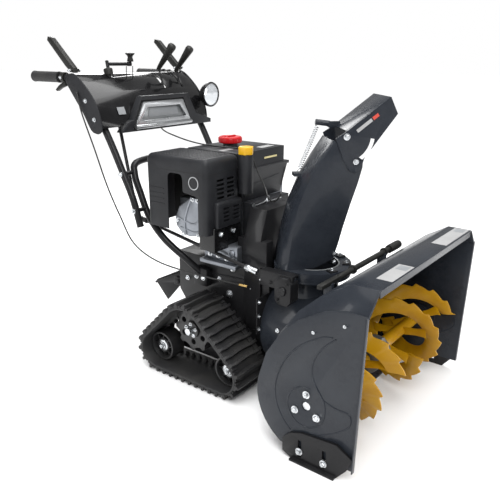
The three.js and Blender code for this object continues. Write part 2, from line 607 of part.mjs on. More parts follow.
function buildTracks() {
  for (const [side, s] of SIDES) {
    const [x0, x1] = [s * TRACK_INSIDE, s * (TRACK_INSIDE + TRACK_WIDTH)];
    const belt = alongX(trackLoop(BELT_THICK, true), x0, x1);
    const inside = alongX(trackLoop(0, false), s * (TRACK_INSIDE - 20),
      s * (TRACK_INSIDE + TRACK_WIDTH + 20));
    piece(`track_${side}`, belt.subtract(inside), rubber);

    const centre = s * (wheelCentre + 8);
    const half = WHEEL_WIDTH / 2;
    for (const [place, y] of [["front", IDLER_FRONT_Y], ["rear", IDLER_REAR_Y]]) {
      const bore = AXLE_RADIUS + RUN / 2;
      const wheel = turned(
        [[bore, -half + 6], [26, -half + 6], [IDLER_RADIUS - 8, -14], [IDLER_RADIUS, -half],
          [IDLER_RADIUS, half], [IDLER_RADIUS - 8, -4], [26, half - 6], [bore, half - 6],
          [bore, -half + 6]],
        [centre, y, idlerZ], [s, 0, 0], 14);
      piece(`idler_${place}_${side}`, wheel, rubber);
    }

    const teeth = 9;
    const rim = [];
    for (let i = 0; i < teeth; i++)
      for (const [share, radius] of [[-0.25, SPROCKET_RADIUS], [0.05, SPROCKET_RADIUS],
        [0.15, SPROCKET_RADIUS - 12], [0.55, SPROCKET_RADIUS - 12]]) {
        const angle = ((i + share) / teeth) * 2 * Math.PI;
        rim.push([DRIVE_Y + radius * Math.cos(angle), DRIVE_Z + radius * Math.sin(angle)]);
      }
    const disc = alongX(rim, centre - half + 10, centre + half - 10);
    const hub = rod([centre - half, DRIVE_Y, DRIVE_Z], [centre + half, DRIVE_Y, DRIVE_Z], 30);
    const bore = rod([s * 100, DRIVE_Y, DRIVE_Z], [s * 400, DRIVE_Y, DRIVE_Z],
      AXLE_RADIUS + RUN / 2);
    piece(`sprocket_${side}`, disc.add(hub).subtract(bore), plastic);
  }

  const plateX = TRACK_INSIDE + 30;
  const wheelSide = wheelCentre + 8 + WHEEL_WIDTH / 2 - 4;
  let frame = rod([-plateX - 4, 650, 98], [plateX + 4, 650, 98], 14, { sides: 12 });
  for (const [, s] of SIDES) {
    const outline = [
      ...arc([IDLER_FRONT_Y, idlerZ], 24, 90, 270, 6), ...arc([IDLER_REAR_Y, idlerZ], 24, 270, 450, 6),
      ...arc([DRIVE_Y, DRIVE_Z], 30, 20, 160, 6),
    ];
    const plate = alongX(outline, s * plateX, s * (plateX + 8));
    const hole = rod([s * 100, DRIVE_Y, DRIVE_Z], [s * 200, DRIVE_Y, DRIVE_Z], AXLE_RADIUS + RUN);
    const pin = (y) => rod([s * plateX, y, idlerZ], [s * wheelSide, y, idlerZ], AXLE_RADIUS);
    frame = frame.add(plate).add(pin(IDLER_FRONT_Y)).add(pin(IDLER_REAR_Y)).subtract(hole);
  }
  piece("track_frame", frame, chassisBlack);
}

// ---------------------------------------------------------------- engine
function buildEngine() {
  const block = join(
    box([-150, 150], [590, 745], [CHASSIS_TOP + FIT, CHASSIS_TOP + 14]),
    box([-40, 120], [600, 820], [CHASSIS_TOP + 10, 600]),
    box([-178, 0], [660, 800], [500, 620]),
    box([-40, 100], [668, 800], [590, 660]),
  );
  const crankBore = rod([0, 500, CRANK_Z], [0, 900, CRANK_Z], CRANK_RADIUS + RUN);
  const muffler = join(box([110, 215], [660, 810], [450, 630]),
    rod([214, 690, 480], [235, 690, 480], 14));
  piece("engine_block", join(block, muffler).subtract(crankBore), castAlloy);
  piece("crankshaft", rod([0, PULLEY_Y - 20, CRANK_Z], [0, 850, CRANK_Z], CRANK_RADIUS)
    .add(pulley(CRANK_PULLEY_RADIUS, CRANK_Z)), zinc);

  const rocker = [
    [686, 512], [683, 636], [722, 638], [775, 600], [796, 560], [790, 530], [765, 508], [735, 502],
  ];
  piece("rocker_cover", alongX(rocker, -178 - FIT, -212), castAlloy);

  const [front, back] = [COVER_FRONT, COVER_BACK];
  const shell = join(box([-226, -57], [front, back], [COVER_FOOT, COVER_TOP]),
    box([-189, -62], [front - 15, front + 10], [540, 622]),
    box([-200, -62], [front - 9, front + 57], [464, 545]));
  const hollow = join(
    box([-222, -50], [front + 4, back - 4], [COVER_FOOT - 20, COVER_TOP - 4]),
    box([-185, -66], [front - 11, front + 20], [530, 618]),
    box([-196, -50], [front - 5, front + 70], [440, 541]));
  const doorway = alongX([[678, 450], [678, 636], [742, 656], [742, 690], [755, 709], [793, 709],
    [808, 693], [812, 450]], -240, -205);
  let cover = shell.subtract(hollow).subtract(doorway);
  for (let row = 0; row < 5; row++)
    for (const x of [-173, -123])
      cover = cover.subtract(box([x, x + 35], [front - 5, front + 10],
        [631 + row * 14, 639 + row * 14]));
  piece("engine_cover", cover, plastic);

  const tankOuter = join(
    box([-50, 205], [650, 880], [705, 760]),
    box([-50, 225], [640, 890], [696, 706]),
    box([-50, 190], [655, 875], [664, 700]),
  );
  const shroud = alongY([[-52, 698], [214, 698], [170, 601], [-52, 601]], 640, 659);
  const column = join(rod([...FILLER, 640], [...FILLER, 765], 24, { sides: 16 }),
    box([-62, -40], [FILLER[1], 642], [650, 760]));
  const dipper = rod([...FILLER, 655], [...FILLER, 780], 16, { sides: 12 });
  const neck = rod([...FUEL_CAP, 750], [...FUEL_CAP, 772], 26);
  const inside = join(box([-44, 199], [662, 874], [670, 754]),
    rod([...FUEL_CAP, 740], [...FUEL_CAP, 790], 20));
  piece("fuel_tank", join(tankOuter, neck, shroud, column).subtract(inside).subtract(dipper),
    plastic);
  const cap = turned([[0, 0], [40, 0], [42, 4], [42, 20], [36, 26], [0, 26]],
    [...FUEL_CAP, 772 + FIT], [0, 0, 1], 20);
  piece("fuel_cap", cap, red);

  const oil = join(
    rod([...FILLER, 765 + FIT], [...FILLER, 790], 26, { sides: 6 }),
    rod([...FILLER, 700], [...FILLER, 770], 5, { sides: 8 }),
  );
  piece("oil_cap", oil, yellow);

  const starter = turned([[0, -24], [92, -24], [98, -10], [98, 24], [0, 24]],
    [0, 866, CRANK_Z], [0, -1, 0], 20);
  const shaftGap = rod([0, 800, CRANK_Z], [0, 852, CRANK_Z], CRANK_RADIUS + RUN);
  const keepClear = join(box([-60, 60], [840, 905], [664 - FIT, 900]),
    box([-240, -50], [640, COVER_BACK + 5], [440, 770]));
  piece("recoil_starter", starter.subtract(shaftGap).subtract(keepClear), plastic);
  const pull = join(
    rod([44, 903, CRANK_Z + 50], [84, 903, CRANK_Z + 70], 9, { sides: 10 }),
    rod([64, 892, CRANK_Z + 60], [64, 903, CRANK_Z + 60], 6, { sides: 10 }),
  );
  piece("recoil_handle", pull, chassisBlack);
}

// ---------------------------------------------------------------- chute
// Built facing forward about its own axis, then turned to the side.
function buildChute() {
  const turret = new THREE.Group();
  turret.position.set(0, CHUTE_Y, 0);
  turret.rotation.z = CHUTE_TURN;
  machine.add(turret);
  const base = CHUTE_RING_Z + FIT;
  const top = base + CHUTE_BASE;
  const w = CHUTE_HALF_WIDTH;

  // Rows of the trough: back edge, front edge (out from the axis, height), and crown of the back.
  const trough = [
    [[-98, top - 2], [-24, top - 2], 22], [[-94, top + 32], [46, top + 32], 21],
    [[-88, 513], [60, 515], 18], [[-81, 568], [73, 569], 15], [[-66, 640], [92, 638], 11],
    [[-40, 706], [112, 704], 6], [[-2, 770], [123, 750], 4], [[36, 828], [123, 772], 3],
  ].map(([[out, z], [frontOut, frontZ], crown]) =>
    [[w, frontOut, frontZ], [w, out, z], [w * 0.55, out - crown, z], [-w * 0.55, out - crown, z],
      [-w, out, z], [-w, frontOut, frontZ]].map(([x, away, up]) => new THREE.Vector3(x, -away, up)));
  const shell = sheet(trough, SHEET, new THREE.Vector3(0, 0, 600));
  const ring = rod([0, 0, base], [0, 0, top], CHUTE_RING_RADIUS, { sides: 32 });
  const skirt = alongZ([[-w, 60], [-w, 96], [-w * 0.55, 119], [w * 0.55, 119], [w, 96], [w, 60]],
    top - 5, top);
  const bore = rod([0, 0, base - 5], [0, 0, top + 3], CHUTE_BORE, { sides: 32 });
  const inside = w + FIT;
  const outside = inside + SHEET;
  const pivotY = -PIVOT_OUT;
  const guide = arc([pivotY, PIVOT_Z], GUIDE_RADIUS, 185, 247, 8);
  const [guideY, guideZ] = guide[guide.length - 1];
  const pin = [-1, 1].map((s) =>
    rod([s * (w - 2), guideY, guideZ], [s * (outside + 4), guideY, guideZ], GUIDE_PIN));
  const springFoot = box([w * 0.36, w * 0.86], [28, 62], [706, 716]);
  piece("chute", join(shell, ring, skirt, ...pin, springFoot).subtract(bore), slate, turret);

  // The deflector: two side plates outside the trough and a top plate between them.
  const flank = [
    [36, 836], [70, 858], [195, 954], [219, 906], [125, 776], [119, 748], [102, 733], [82, 740],
    [62, 775],
  ].map(([out, z]) => [-out, z]);
  const roof = [[70, 858], [195, 954]];
  const [[u0, v0], [u1, v1]] = roof;
  const length = Math.hypot(u1 - u0, v1 - v0);
  const [nu, nv] = [((v1 - v0) / length) * SHEET, (-(u1 - u0) / length) * SHEET];
  const cap = [[-u0, v0], [-u1, v1], [-u1 - nu, v1 + nv], [-u0 - nu, v0 + nv]];
  const pinGap = rod([-outside - 5, guideY, guideZ], [outside + 5, guideY, guideZ],
    GUIDE_PIN + RUN);
  const slot = alongX(band(guide, 2 * (GUIDE_PIN + RUN)), -outside - 5, outside + 5);
  const pivotBolt = (s) => rod([s * inside, pivotY, PIVOT_Z], [s * (outside + 5), pivotY, PIVOT_Z],
    7, { sides: 10 });
  const peg = rod([w * 0.6, -48, 866], [w * 0.6, -4, 872], 9, { sides: 12 });
  const pegFoot = box([w * 0.6 - 9, w * 0.6 + 9], [-80, -44], [855, 873]);
  const deflector = join(
    alongX(flank, inside, outside), alongX(flank, -inside, -outside), alongX(cap, -outside, outside),
    pivotBolt(1), pivotBolt(-1), peg, pegFoot);
  piece("chute_deflector", deflector.subtract(slot).subtract(pinGap), slate, turret);

  piece("deflector_spring",
    rod([w * 0.6, -8, 858], [w * 0.6, 46, 720], 7.5, { sides: 10 }), zinc, turret);
}

// ---------------------------------------------------------------- chute crank line
const WORM_X = -(CHUTE_RING_RADIUS + 15);
const WORM_Z = CHUTE_RING_Z + 9;
const ROD_REAR = [-165, 1027, 512];
const ROD_FRONT = [WORM_X, 500, WORM_Z - 6];
const CRANK_TOP = [-118, 1195, 1033];
const CRANK_REACH = [84, -28]; // from the bend to the knob's pin, x and y
const towards = (share) => ROD_REAR.map((value, i) => value + (CRANK_TOP[i] - value) * share);
function buildCrank() {
  const gearBox = box([WORM_X - 22, WORM_X + 12], [CHUTE_Y - 30, 480], [WORM_Z - 32, WORM_Z + 18]);
  const bore = rod([WORM_X, CHUTE_Y - 60, WORM_Z], [WORM_X, 500, WORM_Z], 13);
  const drumGap = rod([0, 200, impellerZ], [0, 520, impellerZ], DRUM_RADIUS + 1, { sides: 28 });
  const ringGap = rod([0, CHUTE_Y, 300], [0, CHUTE_Y, 500], CHUTE_RING_RADIUS + 3, { sides: 28 });
  piece("chute_gear_box", gearBox.subtract(bore).subtract(drumGap).subtract(ringGap), chassisBlack);

  piece("chute_worm", join(
    rod([WORM_X, CHUTE_Y - 28, WORM_Z], [WORM_X, CHUTE_Y + 20, WORM_Z], 11),
    rod([WORM_X, CHUTE_Y + 18, WORM_Z], [WORM_X, 490, WORM_Z], 7),
  ), zinc);
  const down = (share) => ROD_REAR.map((value, i) => value + (ROD_FRONT[i] - value) * share);
  piece("chute_rod", join(
    rod(down(0.03), down(0.97), 6, { sides: 10 }),
    rod(down(0.9), down(0.985), 11, { sides: 12 }),
    rod(down(0.03), down(0.09), 9, { sides: 12 }),
  ), zinc);

  const [topX, topY, topZ] = CRANK_TOP;
  const [knobX, knobY] = [topX + CRANK_REACH[0], topY + CRANK_REACH[1]];
  const stem = join(
    rod(towards(0.02), CRANK_TOP, 6, { sides: 10 }),
    rod(CRANK_TOP, [knobX + 2, knobY, topZ], 6, { sides: 10 }),
    rod([knobX, knobY, topZ - 4], [knobX, knobY, topZ + 34], 4, { sides: 8 }),
  );
  piece("crank_handle", stem, zinc);
  const knob = turned([[5.2, 8], [13, 8], [9, 22], [17, 34], [17, 38], [5.2, 38], [5.2, 8]],
    [knobX, knobY, topZ], [0, 0, 1], 16);
  piece("crank_knob", knob, chassisBlack);
}

// ---------------------------------------------------------------- handlebars and panel
const barLine = (s) => [
  [s * BAR_X, 935, 505], [s * BAR_X, 966, 600], [s * BAR_X, 1008, 682], [s * BAR_X, 1060, 778],
  [s * BAR_X, 1125, 880], [s * (BAR_X + 4), 1180, 952], [s * (GRIP_X - 6), 1212, 982],
  [s * GRIP_X, 1255, GRIP_Z], [s * GRIP_X, 1300, GRIP_Z],
];
const hoopTop = 710;
const panelFront = [
  [1066, 830], [1071, 865], [1089, 906], [1116, 943], [1152, 976], [1186, 999], [1214, 1003],
];
const panelBack = [[1244, 984], [1164, 880], [1128, 824], [1102, 812]];
function buildHandlebars() {
  const leg = [
    [116, 766, 340], [150, 804, 392], [182, 876, 460], [HOOP_X, 938, 530], [HOOP_X, 978, 610],
    [HOOP_X - 2, 1004, 672], [HOOP_X - 32, 1018, hoopTop],
  ];
  const right = leg.map(([x, y, z]) => [-x, y, z]).reverse();
  const hoop = tube([...leg, [0, 1024, hoopTop + 4], ...right], BAR_RADIUS, 36, 8);
  const foot = (s) => box([s * (CHASSIS_HALF_WIDTH + FIT), s * 128], [735, 795], [300, 362]);
  const spacer = (s, y, z) =>
    rod([s * HOOP_X, y, z], [s * (BAR_X - BAR_RADIUS - FIT), y, z], 7, { sides: 8 });
  piece("lower_frame", join(hoop, foot(1), foot(-1), spacer(1, 1007, 680), spacer(-1, 1007, 680),
    spacer(1, 952, 560), spacer(-1, 952, 560)), chassisBlack);

  for (const [side, s] of SIDES) {
    const upper = tube([
      ...barLine(s), [s * GRIP_X, GRIP_BACK - 8, GRIP_Z],
    ], BAR_RADIUS, 26, 8);
    piece(`handlebar_${side}`, upper, chassisBlack);

    const grip = turned([
      [BAR_RADIUS + 1, 0], [GRIP_RADIUS + 1, 0], [GRIP_RADIUS + 1, 4], [GRIP_RADIUS, 8],
      [GRIP_RADIUS, 146], [GRIP_RADIUS + 2, 150], [0, 150], [0, 143], [BAR_RADIUS + 1, 143],
      [BAR_RADIUS + 1, 0],
    ], [s * GRIP_X, GRIP_BACK - 150, GRIP_Z], [0, 1, 0], 16);
    piece(`grip_${side}`, grip, rubber);

    const blade = [[1198, 1006], [1214, 1009], [1240, 1028], [1330, 1112], [1325, 1124],
      [1306, 1119], [1218, 1040], [1198, 1022]];
    const grounded = rod([s * (GRIP_X - 20), 1206, 1014], [s * (GRIP_X + 20), 1206, 1014], 5);
    piece(`clutch_lever_${side}`, join(
      alongX(blade, s * (GRIP_X - 9), s * (GRIP_X + 9)), grounded), plastic);

    const trigger = [[1252, 975], [1266, 975], [1292, 962], [1312, 947], [1304, 942], [1282, 953],
      [1252, 962]];
    piece(`steering_trigger_${side}`,
      alongX(trigger, s * (GRIP_X - 7), s * (GRIP_X + 7)), plastic);
  }
}

function buildPanel() {
  const w = PANEL_HALF_WIDTH;
  const outline = [...panelFront, ...panelBack];
  const middle = [1150, 905];
  const shrunk = panelFront.map(([y, z]) => {
    const reach = Math.hypot(y - middle[0], z - middle[1]);
    const keep = (reach - PANEL_WALL) / reach;
    return [middle[0] + (y - middle[0]) * keep, middle[1] + (z - middle[1]) * keep];
  });
  const open = [...shrunk, [1300, 1010], [1300, 780], [1080, 780]];
  const cowl = alongX(outline, -w, w).subtract(alongX(open, -w + PANEL_WALL, w - PANEL_WALL));
  const barGap = (s) => tube(barLine(s), BAR_RADIUS + 2, 24, 8);
  const crankGap = rod(towards(0.5), CRANK_TOP, 10);
  const leverGap = (x, length) => box([x - 7, x + 7], [1120, 1120 + length], [900, 1050]);
  const bezel = alongY([[-201, 812], [-172, 843], [-143, 849], [-98, 926], [128, 926], [172, 851],
    [258, 824], [258, 812]], 1046, 1074);
  const bezelCut = alongX([...panelFront.map(([y, z]) => [y + 1, z]), [1300, 1010], [1300, 700],
    [1066, 700]], -w, w);
  piece("control_panel", cowl.add(bezel.subtract(bezelCut)).subtract(barGap(1))
    .subtract(barGap(-1)).subtract(crankGap).subtract(leverGap(SHIFT_X, 70))
    .subtract(leverGap(HOOD_X, 70)), glossBlack);

  const stick = (x, y, z) => join(
    rod([x, y, z], [x, y + 26, z + 92], 4, { sides: 8 }),
    rod([x, y + 30, z + 84], [x, y - 52, z + 171], 8, { sides: 10, tip: 15 }));
  piece("shift_lever", stick(SHIFT_X, 1124, 930), chassisBlack);
  piece("deflector_lever", stick(HOOD_X, 1123, 922), chassisBlack);

  const lamp = turned([[0, -34], [30, -30], [48, -4], [48, 8], [42, 12], [0, 12]],
    [LAMP_X, 1042, 917], [0, -1, 0], 24);
  const stalk = box([264, 276], [1062, 1092], [897, 937]);
  piece("headlight", lamp.add(stalk), glossBlack);
}

// ---------------------------------------------------------------- small parts
function buildSmallParts() {
  const arm = alongX([[PEDAL_Y - 12, PEDAL_Z - 6], [PEDAL_Y + 4, PEDAL_Z + 20],
    [PEDAL_Y + 122, PEDAL_Z - 34], [PEDAL_Y + 66, PEDAL_Z - 92]], -PEDAL_HALF_WIDTH,
    6 - PEDAL_HALF_WIDTH);
  const reach = PEDAL_HALF_WIDTH + 14;
  const pin = rod([-reach, PEDAL_Y, PEDAL_Z], [reach, PEDAL_Y, PEDAL_Z], PEDAL_PIN);
  const tread = alongX([[PEDAL_Y - 10, PEDAL_Z + 26], [PEDAL_Y - 8, PEDAL_Z + 34],
    [PEDAL_Y + 132, PEDAL_Z - 32], [PEDAL_Y + 129, PEDAL_Z - 40]], -PEDAL_HALF_WIDTH,
    PEDAL_HALF_WIDTH);
  const web = box([-6, 6], [PEDAL_Y - 6, PEDAL_Y + 6], [PEDAL_Z, PEDAL_Z + 26]);
  const sides = join(arm, arm.translate([2 * PEDAL_HALF_WIDTH - 6, 0, 0]));
  piece("foot_pedal", join(sides, tread, pin, web), chassisBlack);

  piece("clean_out_tool", join(
    rod([-250, TOOL_Y, TOOL_Z], [190, TOOL_Y, TOOL_Z], TOOL_RADIUS),
    rod([186, TOOL_Y, TOOL_Z], [262, TOOL_Y, TOOL_Z], TOOL_RADIUS + 5),
  ), plastic);

  piece("clutch_cable", tube([
    [-268, 1180, 945], [-272, 1160, 880], [-276, 1100, 760], [-274, 1050, 640], [-268, 1000, 540],
    [-258, 950, 450], [-240, 860, 400], [-200, 740, 372], [-150, 620, 352], [-128, 560, 345],
  ], 3, 26, 8), rubber);
  piece("deflector_cable", tube([
    [40, 1130, 850], [36, 1090, 800], [22, 1000, 780], [12, 900, 768], [2, 800, 766], [-12, 665, 770],
    [-15, 632, 757], [-8, 606, 700], [-12, 575, 655], [-40, 540, 628], [-70, 500, 628],
    [-86, 470, 645], [-96, 452, 668],
  ], 3, 34, 8), rubber);
}

buildHousing();
buildAuger();
buildImpeller();
buildDrive();
buildChassis();
buildTracks();
buildEngine();
buildChute();
buildCrank();
buildHandlebars();
buildPanel();
buildSmallParts();

export default whole;
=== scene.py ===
"""Visual model of a tracked two-stage snow blower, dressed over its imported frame."""

import sys
import json
import logging
import math
from dataclasses import dataclass
from enum import Enum
from typing import Callable, Iterable, Optional, Sequence

import bmesh
import bpy
from mathutils import Matrix, Vector

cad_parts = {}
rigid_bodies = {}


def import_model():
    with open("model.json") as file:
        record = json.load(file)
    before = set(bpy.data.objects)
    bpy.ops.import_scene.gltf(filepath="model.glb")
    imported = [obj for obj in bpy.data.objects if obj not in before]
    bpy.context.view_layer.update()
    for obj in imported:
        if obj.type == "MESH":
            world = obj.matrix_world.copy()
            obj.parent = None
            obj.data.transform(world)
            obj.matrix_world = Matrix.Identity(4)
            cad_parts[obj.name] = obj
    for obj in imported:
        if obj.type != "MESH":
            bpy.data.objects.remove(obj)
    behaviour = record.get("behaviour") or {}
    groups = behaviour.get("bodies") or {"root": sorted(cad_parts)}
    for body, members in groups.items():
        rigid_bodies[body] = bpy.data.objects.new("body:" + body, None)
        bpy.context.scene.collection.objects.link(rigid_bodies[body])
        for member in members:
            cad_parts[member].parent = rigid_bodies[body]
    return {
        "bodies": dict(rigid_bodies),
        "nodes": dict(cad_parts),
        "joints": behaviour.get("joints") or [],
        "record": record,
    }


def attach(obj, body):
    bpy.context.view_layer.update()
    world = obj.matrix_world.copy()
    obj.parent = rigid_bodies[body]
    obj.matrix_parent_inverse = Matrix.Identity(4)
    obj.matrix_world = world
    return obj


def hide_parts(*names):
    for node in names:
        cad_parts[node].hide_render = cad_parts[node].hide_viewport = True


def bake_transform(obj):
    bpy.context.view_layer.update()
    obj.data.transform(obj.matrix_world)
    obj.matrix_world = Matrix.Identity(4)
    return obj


LOG = logging.getLogger("snow_blower")
MM = 0.001
MOUTH = 718.0  # from the auger mouth back to the frame's origin
CHUTE_Y = 390.0
IMPELLER_Z = 211.0
AUGER_Y, AUGER_Z = 164.0, 175.0
SIDES = (("right", -1), ("left", 1))

Point = Sequence[float]
Line = Sequence[Point]


def spot(point: Point) -> Vector:
    """A place in the frame, in metres, from (across, back from the mouth, up) in mm."""
    return Vector((point[0], point[1] - MOUTH, point[2])) * MM


TO_FRAME = Matrix.Translation((0, -MOUTH * MM, 0)) @ Matrix.Scale(MM, 4)
TO_TURRET = (
    TO_FRAME @ Matrix.Translation((0, CHUTE_Y, 0)) @ Matrix.Rotation(math.radians(45), 4, "Z")
)


# ------------------------------------------------------------------ finishes
class Grain(Enum):
    """How a finish breaks up the light at small scale."""

    SMOOTH = "smooth"
    PAINT = "paint"
    PEBBLE = "pebble"
    BRUSHED = "brushed"
    CAST = "cast"


GRAIN_LOOK = {  # noise scale, stretch along X, bump strength, bump distance in metres
    Grain.SMOOTH: (260.0, 1.0, 0.02, 0.0002),
    Grain.PAINT: (900.0, 1.0, 0.05, 0.0002),
    Grain.PEBBLE: (1500.0, 1.0, 0.35, 0.0003),
    Grain.BRUSHED: (500.0, 0.08, 0.12, 0.0002),
    Grain.CAST: (420.0, 1.0, 0.35, 0.0006),
}


@dataclass(frozen=True)
class Finish:
    """One surface finish, as a procedural material."""

    name: str
    slot: str
    colour: tuple[float, float, float]
    worn: tuple[float, float, float]
    roughness: float
    spread: float = 0.08
    metallic: float = 0.0
    coat: float = 0.0
    grain: Grain = Grain.SMOOTH
    specular: float = 0.5

    def material(self) -> bpy.types.Material:
        """The material of this finish, made once."""
        known = bpy.data.materials.get(self.name)
        if known:
            return known
        made = bpy.data.materials.new(self.name)
        made.use_nodes = True
        nodes, links = made.node_tree.nodes, made.node_tree.links
        shader = nodes["Principled BSDF"]
        shader.inputs["Metallic"].default_value = self.metallic
        shader.inputs["Coat Weight"].default_value = self.coat
        shader.inputs["Coat Roughness"].default_value = 0.08
        shader.inputs["Specular IOR Level"].default_value = self.specular
        made.diffuse_color = (*self.colour, 1)
        where = nodes.new("ShaderNodeTexCoord")

        scale, stretch, strength, depth = GRAIN_LOOK[self.grain]
        turned = nodes.new("ShaderNodeMapping")
        turned.inputs["Scale"].default_value = (stretch, 1, 1)
        links.new(where.outputs["Object"], turned.inputs["Vector"])
        fine = nodes.new("ShaderNodeTexNoise")
        fine.inputs["Scale"].default_value = scale
        fine.inputs["Detail"].default_value = 4
        links.new(turned.outputs["Vector"], fine.inputs["Vector"])
        broad = nodes.new("ShaderNodeTexNoise")
        broad.inputs["Scale"].default_value = 9.0
        broad.inputs["Detail"].default_value = 6
        broad.inputs["Roughness"].default_value = 0.62
        links.new(where.outputs["Object"], broad.inputs["Vector"])

        tint = nodes.new("ShaderNodeMix")
        tint.data_type = "RGBA"
        tint.inputs["A"].default_value = (*self.colour, 1)
        tint.inputs["B"].default_value = (*self.worn, 1)
        ramp = nodes.new("ShaderNodeMapRange")
        ramp.inputs["From Min"].default_value = 0.45
        ramp.inputs["From Max"].default_value = 0.78
        links.new(broad.outputs["Fac"], ramp.inputs["Value"])
        links.new(ramp.outputs["Result"], tint.inputs["Factor"])
        links.new(tint.outputs["Result"], shader.inputs["Base Color"])

        rough = nodes.new("ShaderNodeMapRange")
        rough.inputs["From Min"].default_value = 0.3
        rough.inputs["From Max"].default_value = 0.7
        rough.inputs["To Min"].default_value = max(0.02, self.roughness - self.spread)
        rough.inputs["To Max"].default_value = min(1.0, self.roughness + self.spread)
        blend = nodes.new("ShaderNodeMath")
        blend.operation = "MULTIPLY_ADD"
        blend.inputs[1].default_value = 0.35
        links.new(fine.outputs["Fac"], blend.inputs[0])
        half = nodes.new("ShaderNodeMath")
        half.operation = "MULTIPLY"
        half.inputs[1].default_value = 0.65
        links.new(broad.outputs["Fac"], half.inputs[0])
        links.new(half.outputs["Value"], blend.inputs[2])
        links.new(blend.outputs["Value"], rough.inputs["Value"])
        links.new(rough.outputs["Result"], shader.inputs["Roughness"])

        bump = nodes.new("ShaderNodeBump")
        bump.inputs["Strength"].default_value = strength
        bump.inputs["Distance"].default_value = depth
        links.new(fine.outputs["Fac"], bump.inputs["Height"])
        links.new(bump.outputs["Normal"], shader.inputs["Normal"])
        return made


SLATE = Finish("slate paint", "slate_paint", (0.018, 0.021, 0.027), (0.025, 0.029, 0.036),
               0.28, 0.06, 0.0, 0.14, Grain.PAINT, 0.14)
AUGER_PAINT = Finish("auger yellow", "auger_yellow", (0.46, 0.24, 0.003), (0.34, 0.155, 0.002),
                     0.36, 0.1, 0.0, 0.15, Grain.PAINT, 0.25)
CASTING = Finish("grey casting", "gearbox_grey", (0.15, 0.16, 0.165), (0.09, 0.095, 0.10),
                 0.5, 0.1, 0.6, 0.0, Grain.CAST)
BRIGHT_ALLOY = Finish("bright alloy", "gearbox_grey", (0.24, 0.255, 0.28), (0.17, 0.18, 0.20),
                      0.34, 0.1, 0.9, 0.0, Grain.CAST)
ZINC = Finish("zinc plate", "zinc", (0.62, 0.64, 0.66), (0.44, 0.45, 0.46), 0.26, 0.1, 1.0, 0.0,
              Grain.BRUSHED)
BRASS = Finish("brass ferrule", "zinc", (0.62, 0.42, 0.16), (0.42, 0.27, 0.10), 0.3, 0.08, 1.0)
BLACK_PAINT = Finish("black powder coat", "black_paint", (0.011, 0.011, 0.012),
                     (0.014, 0.014, 0.015), 0.36, 0.08, 0.0, 0.1, Grain.PAINT, 0.16)
WHEEL = Finish("wheel black", "wheel_black", (0.012, 0.012, 0.013), (0.030, 0.029, 0.028), 0.42,
               0.1, 0.0, 0.1, Grain.SMOOTH)
RUBBER = Finish("track rubber", "track_rubber", (0.016, 0.016, 0.017), (0.034, 0.033, 0.031),
                0.56, 0.12, 0.0, 0.0, Grain.PEBBLE, 0.4)
SHEATH = Finish("cable sheath", "track_rubber", (0.010, 0.010, 0.010), (0.018, 0.018, 0.018),
                0.38, 0.06)
LEVER = Finish("lever plastic", "lever_plastic", (0.014, 0.014, 0.013), (0.026, 0.026, 0.024),
               0.45, 0.08, 0.0, 0.0, Grain.PEBBLE, 0.22)
COVER = Finish("cover plastic", "cover_plastic", (0.013, 0.0135, 0.0155), (0.022, 0.023, 0.026),
               0.45, 0.08, 0.0, 0.0, Grain.PEBBLE, 0.22)
GLOSS = Finish("gloss black", "panel_gloss", (0.006, 0.006, 0.0065), (0.010, 0.010, 0.011),
               0.16, 0.05, 0.0, 0.3, Grain.SMOOTH, 0.18)
RED = Finish("red cap", "cap_red", (0.46, 0.006, 0.010), (0.36, 0.005, 0.008), 0.33, 0.06, 0.0, 0.1,
             Grain.SMOOTH, 0.25)
YELLOW = Finish("yellow cap", "cap_yellow", (0.68, 0.38, 0.006), (0.60, 0.31, 0.005), 0.36, 0.06)
SURROUND = Finish("surround grey", "panel_gloss", (0.16, 0.17, 0.175), (0.22, 0.23, 0.235), 0.34,
                  0.06, 0.5, 0.3, Grain.BRUSHED)
BADGE = Finish("badge silver", "zinc", (0.40, 0.41, 0.42), (0.32, 0.33, 0.34), 0.3, 0.06, 0.9)
LABEL = Finish("label white", "cap_yellow", (0.34, 0.34, 0.34), (0.29, 0.29, 0.29), 0.45)
LABEL_GREY = Finish("label grey", "panel_gloss", (0.20, 0.21, 0.22), (0.26, 0.27, 0.28), 0.45)
LABEL_RED = Finish("label red", "cap_red", (0.50, 0.05, 0.03), (0.42, 0.04, 0.03), 0.45)
LABEL_PALE = Finish("label straw", "cap_yellow", (0.60, 0.52, 0.25), (0.52, 0.45, 0.22), 0.45)
LENS = Finish("lamp lens", "panel_gloss", (0.72, 0.75, 0.78), (0.55, 0.58, 0.62), 0.08, 0.03,
              0.5, 1.0)
REFLECTOR = Finish("lamp reflector", "zinc", (0.86, 0.87, 0.88), (0.74, 0.75, 0.76), 0.1, 0.03,
                   1.0)
DARK = Finish("shadow black", "black_paint", (0.004, 0.004, 0.004), (0.006, 0.006, 0.006), 0.7)


# ------------------------------------------------------------------ shaping
def smooth_line(points: Line, steps: int = 8, closed: bool = False) -> list[Vector]:
    """Points of a smooth curve through the given ones.

    Args:
        points: the places it passes through, in mm.
        steps: how many stretches lie between two of them.
        closed: whether the curve comes back to its first point.

    Returns:
        The curve's points, without the repeated last one when closed.
    """
    knots = [Vector(p) for p in points]
    count = len(knots)
    at = (lambda i: knots[i % count]) if closed else (lambda i: knots[max(0, min(i, count - 1))])
    line = []
    for i in range(count if closed else count - 1):
        a, b, c, d = at(i - 1), at(i), at(i + 1), at(i + 2)
        for k in range(steps):
            t = k / steps
            line.append(0.5 * (2 * b + (c - a) * t + (2 * a - 5 * b + 4 * c - d) * t * t
                               + (3 * b - a - 3 * c + d) * t ** 3))
    if not closed:
        line.append(knots[-1])
    return line


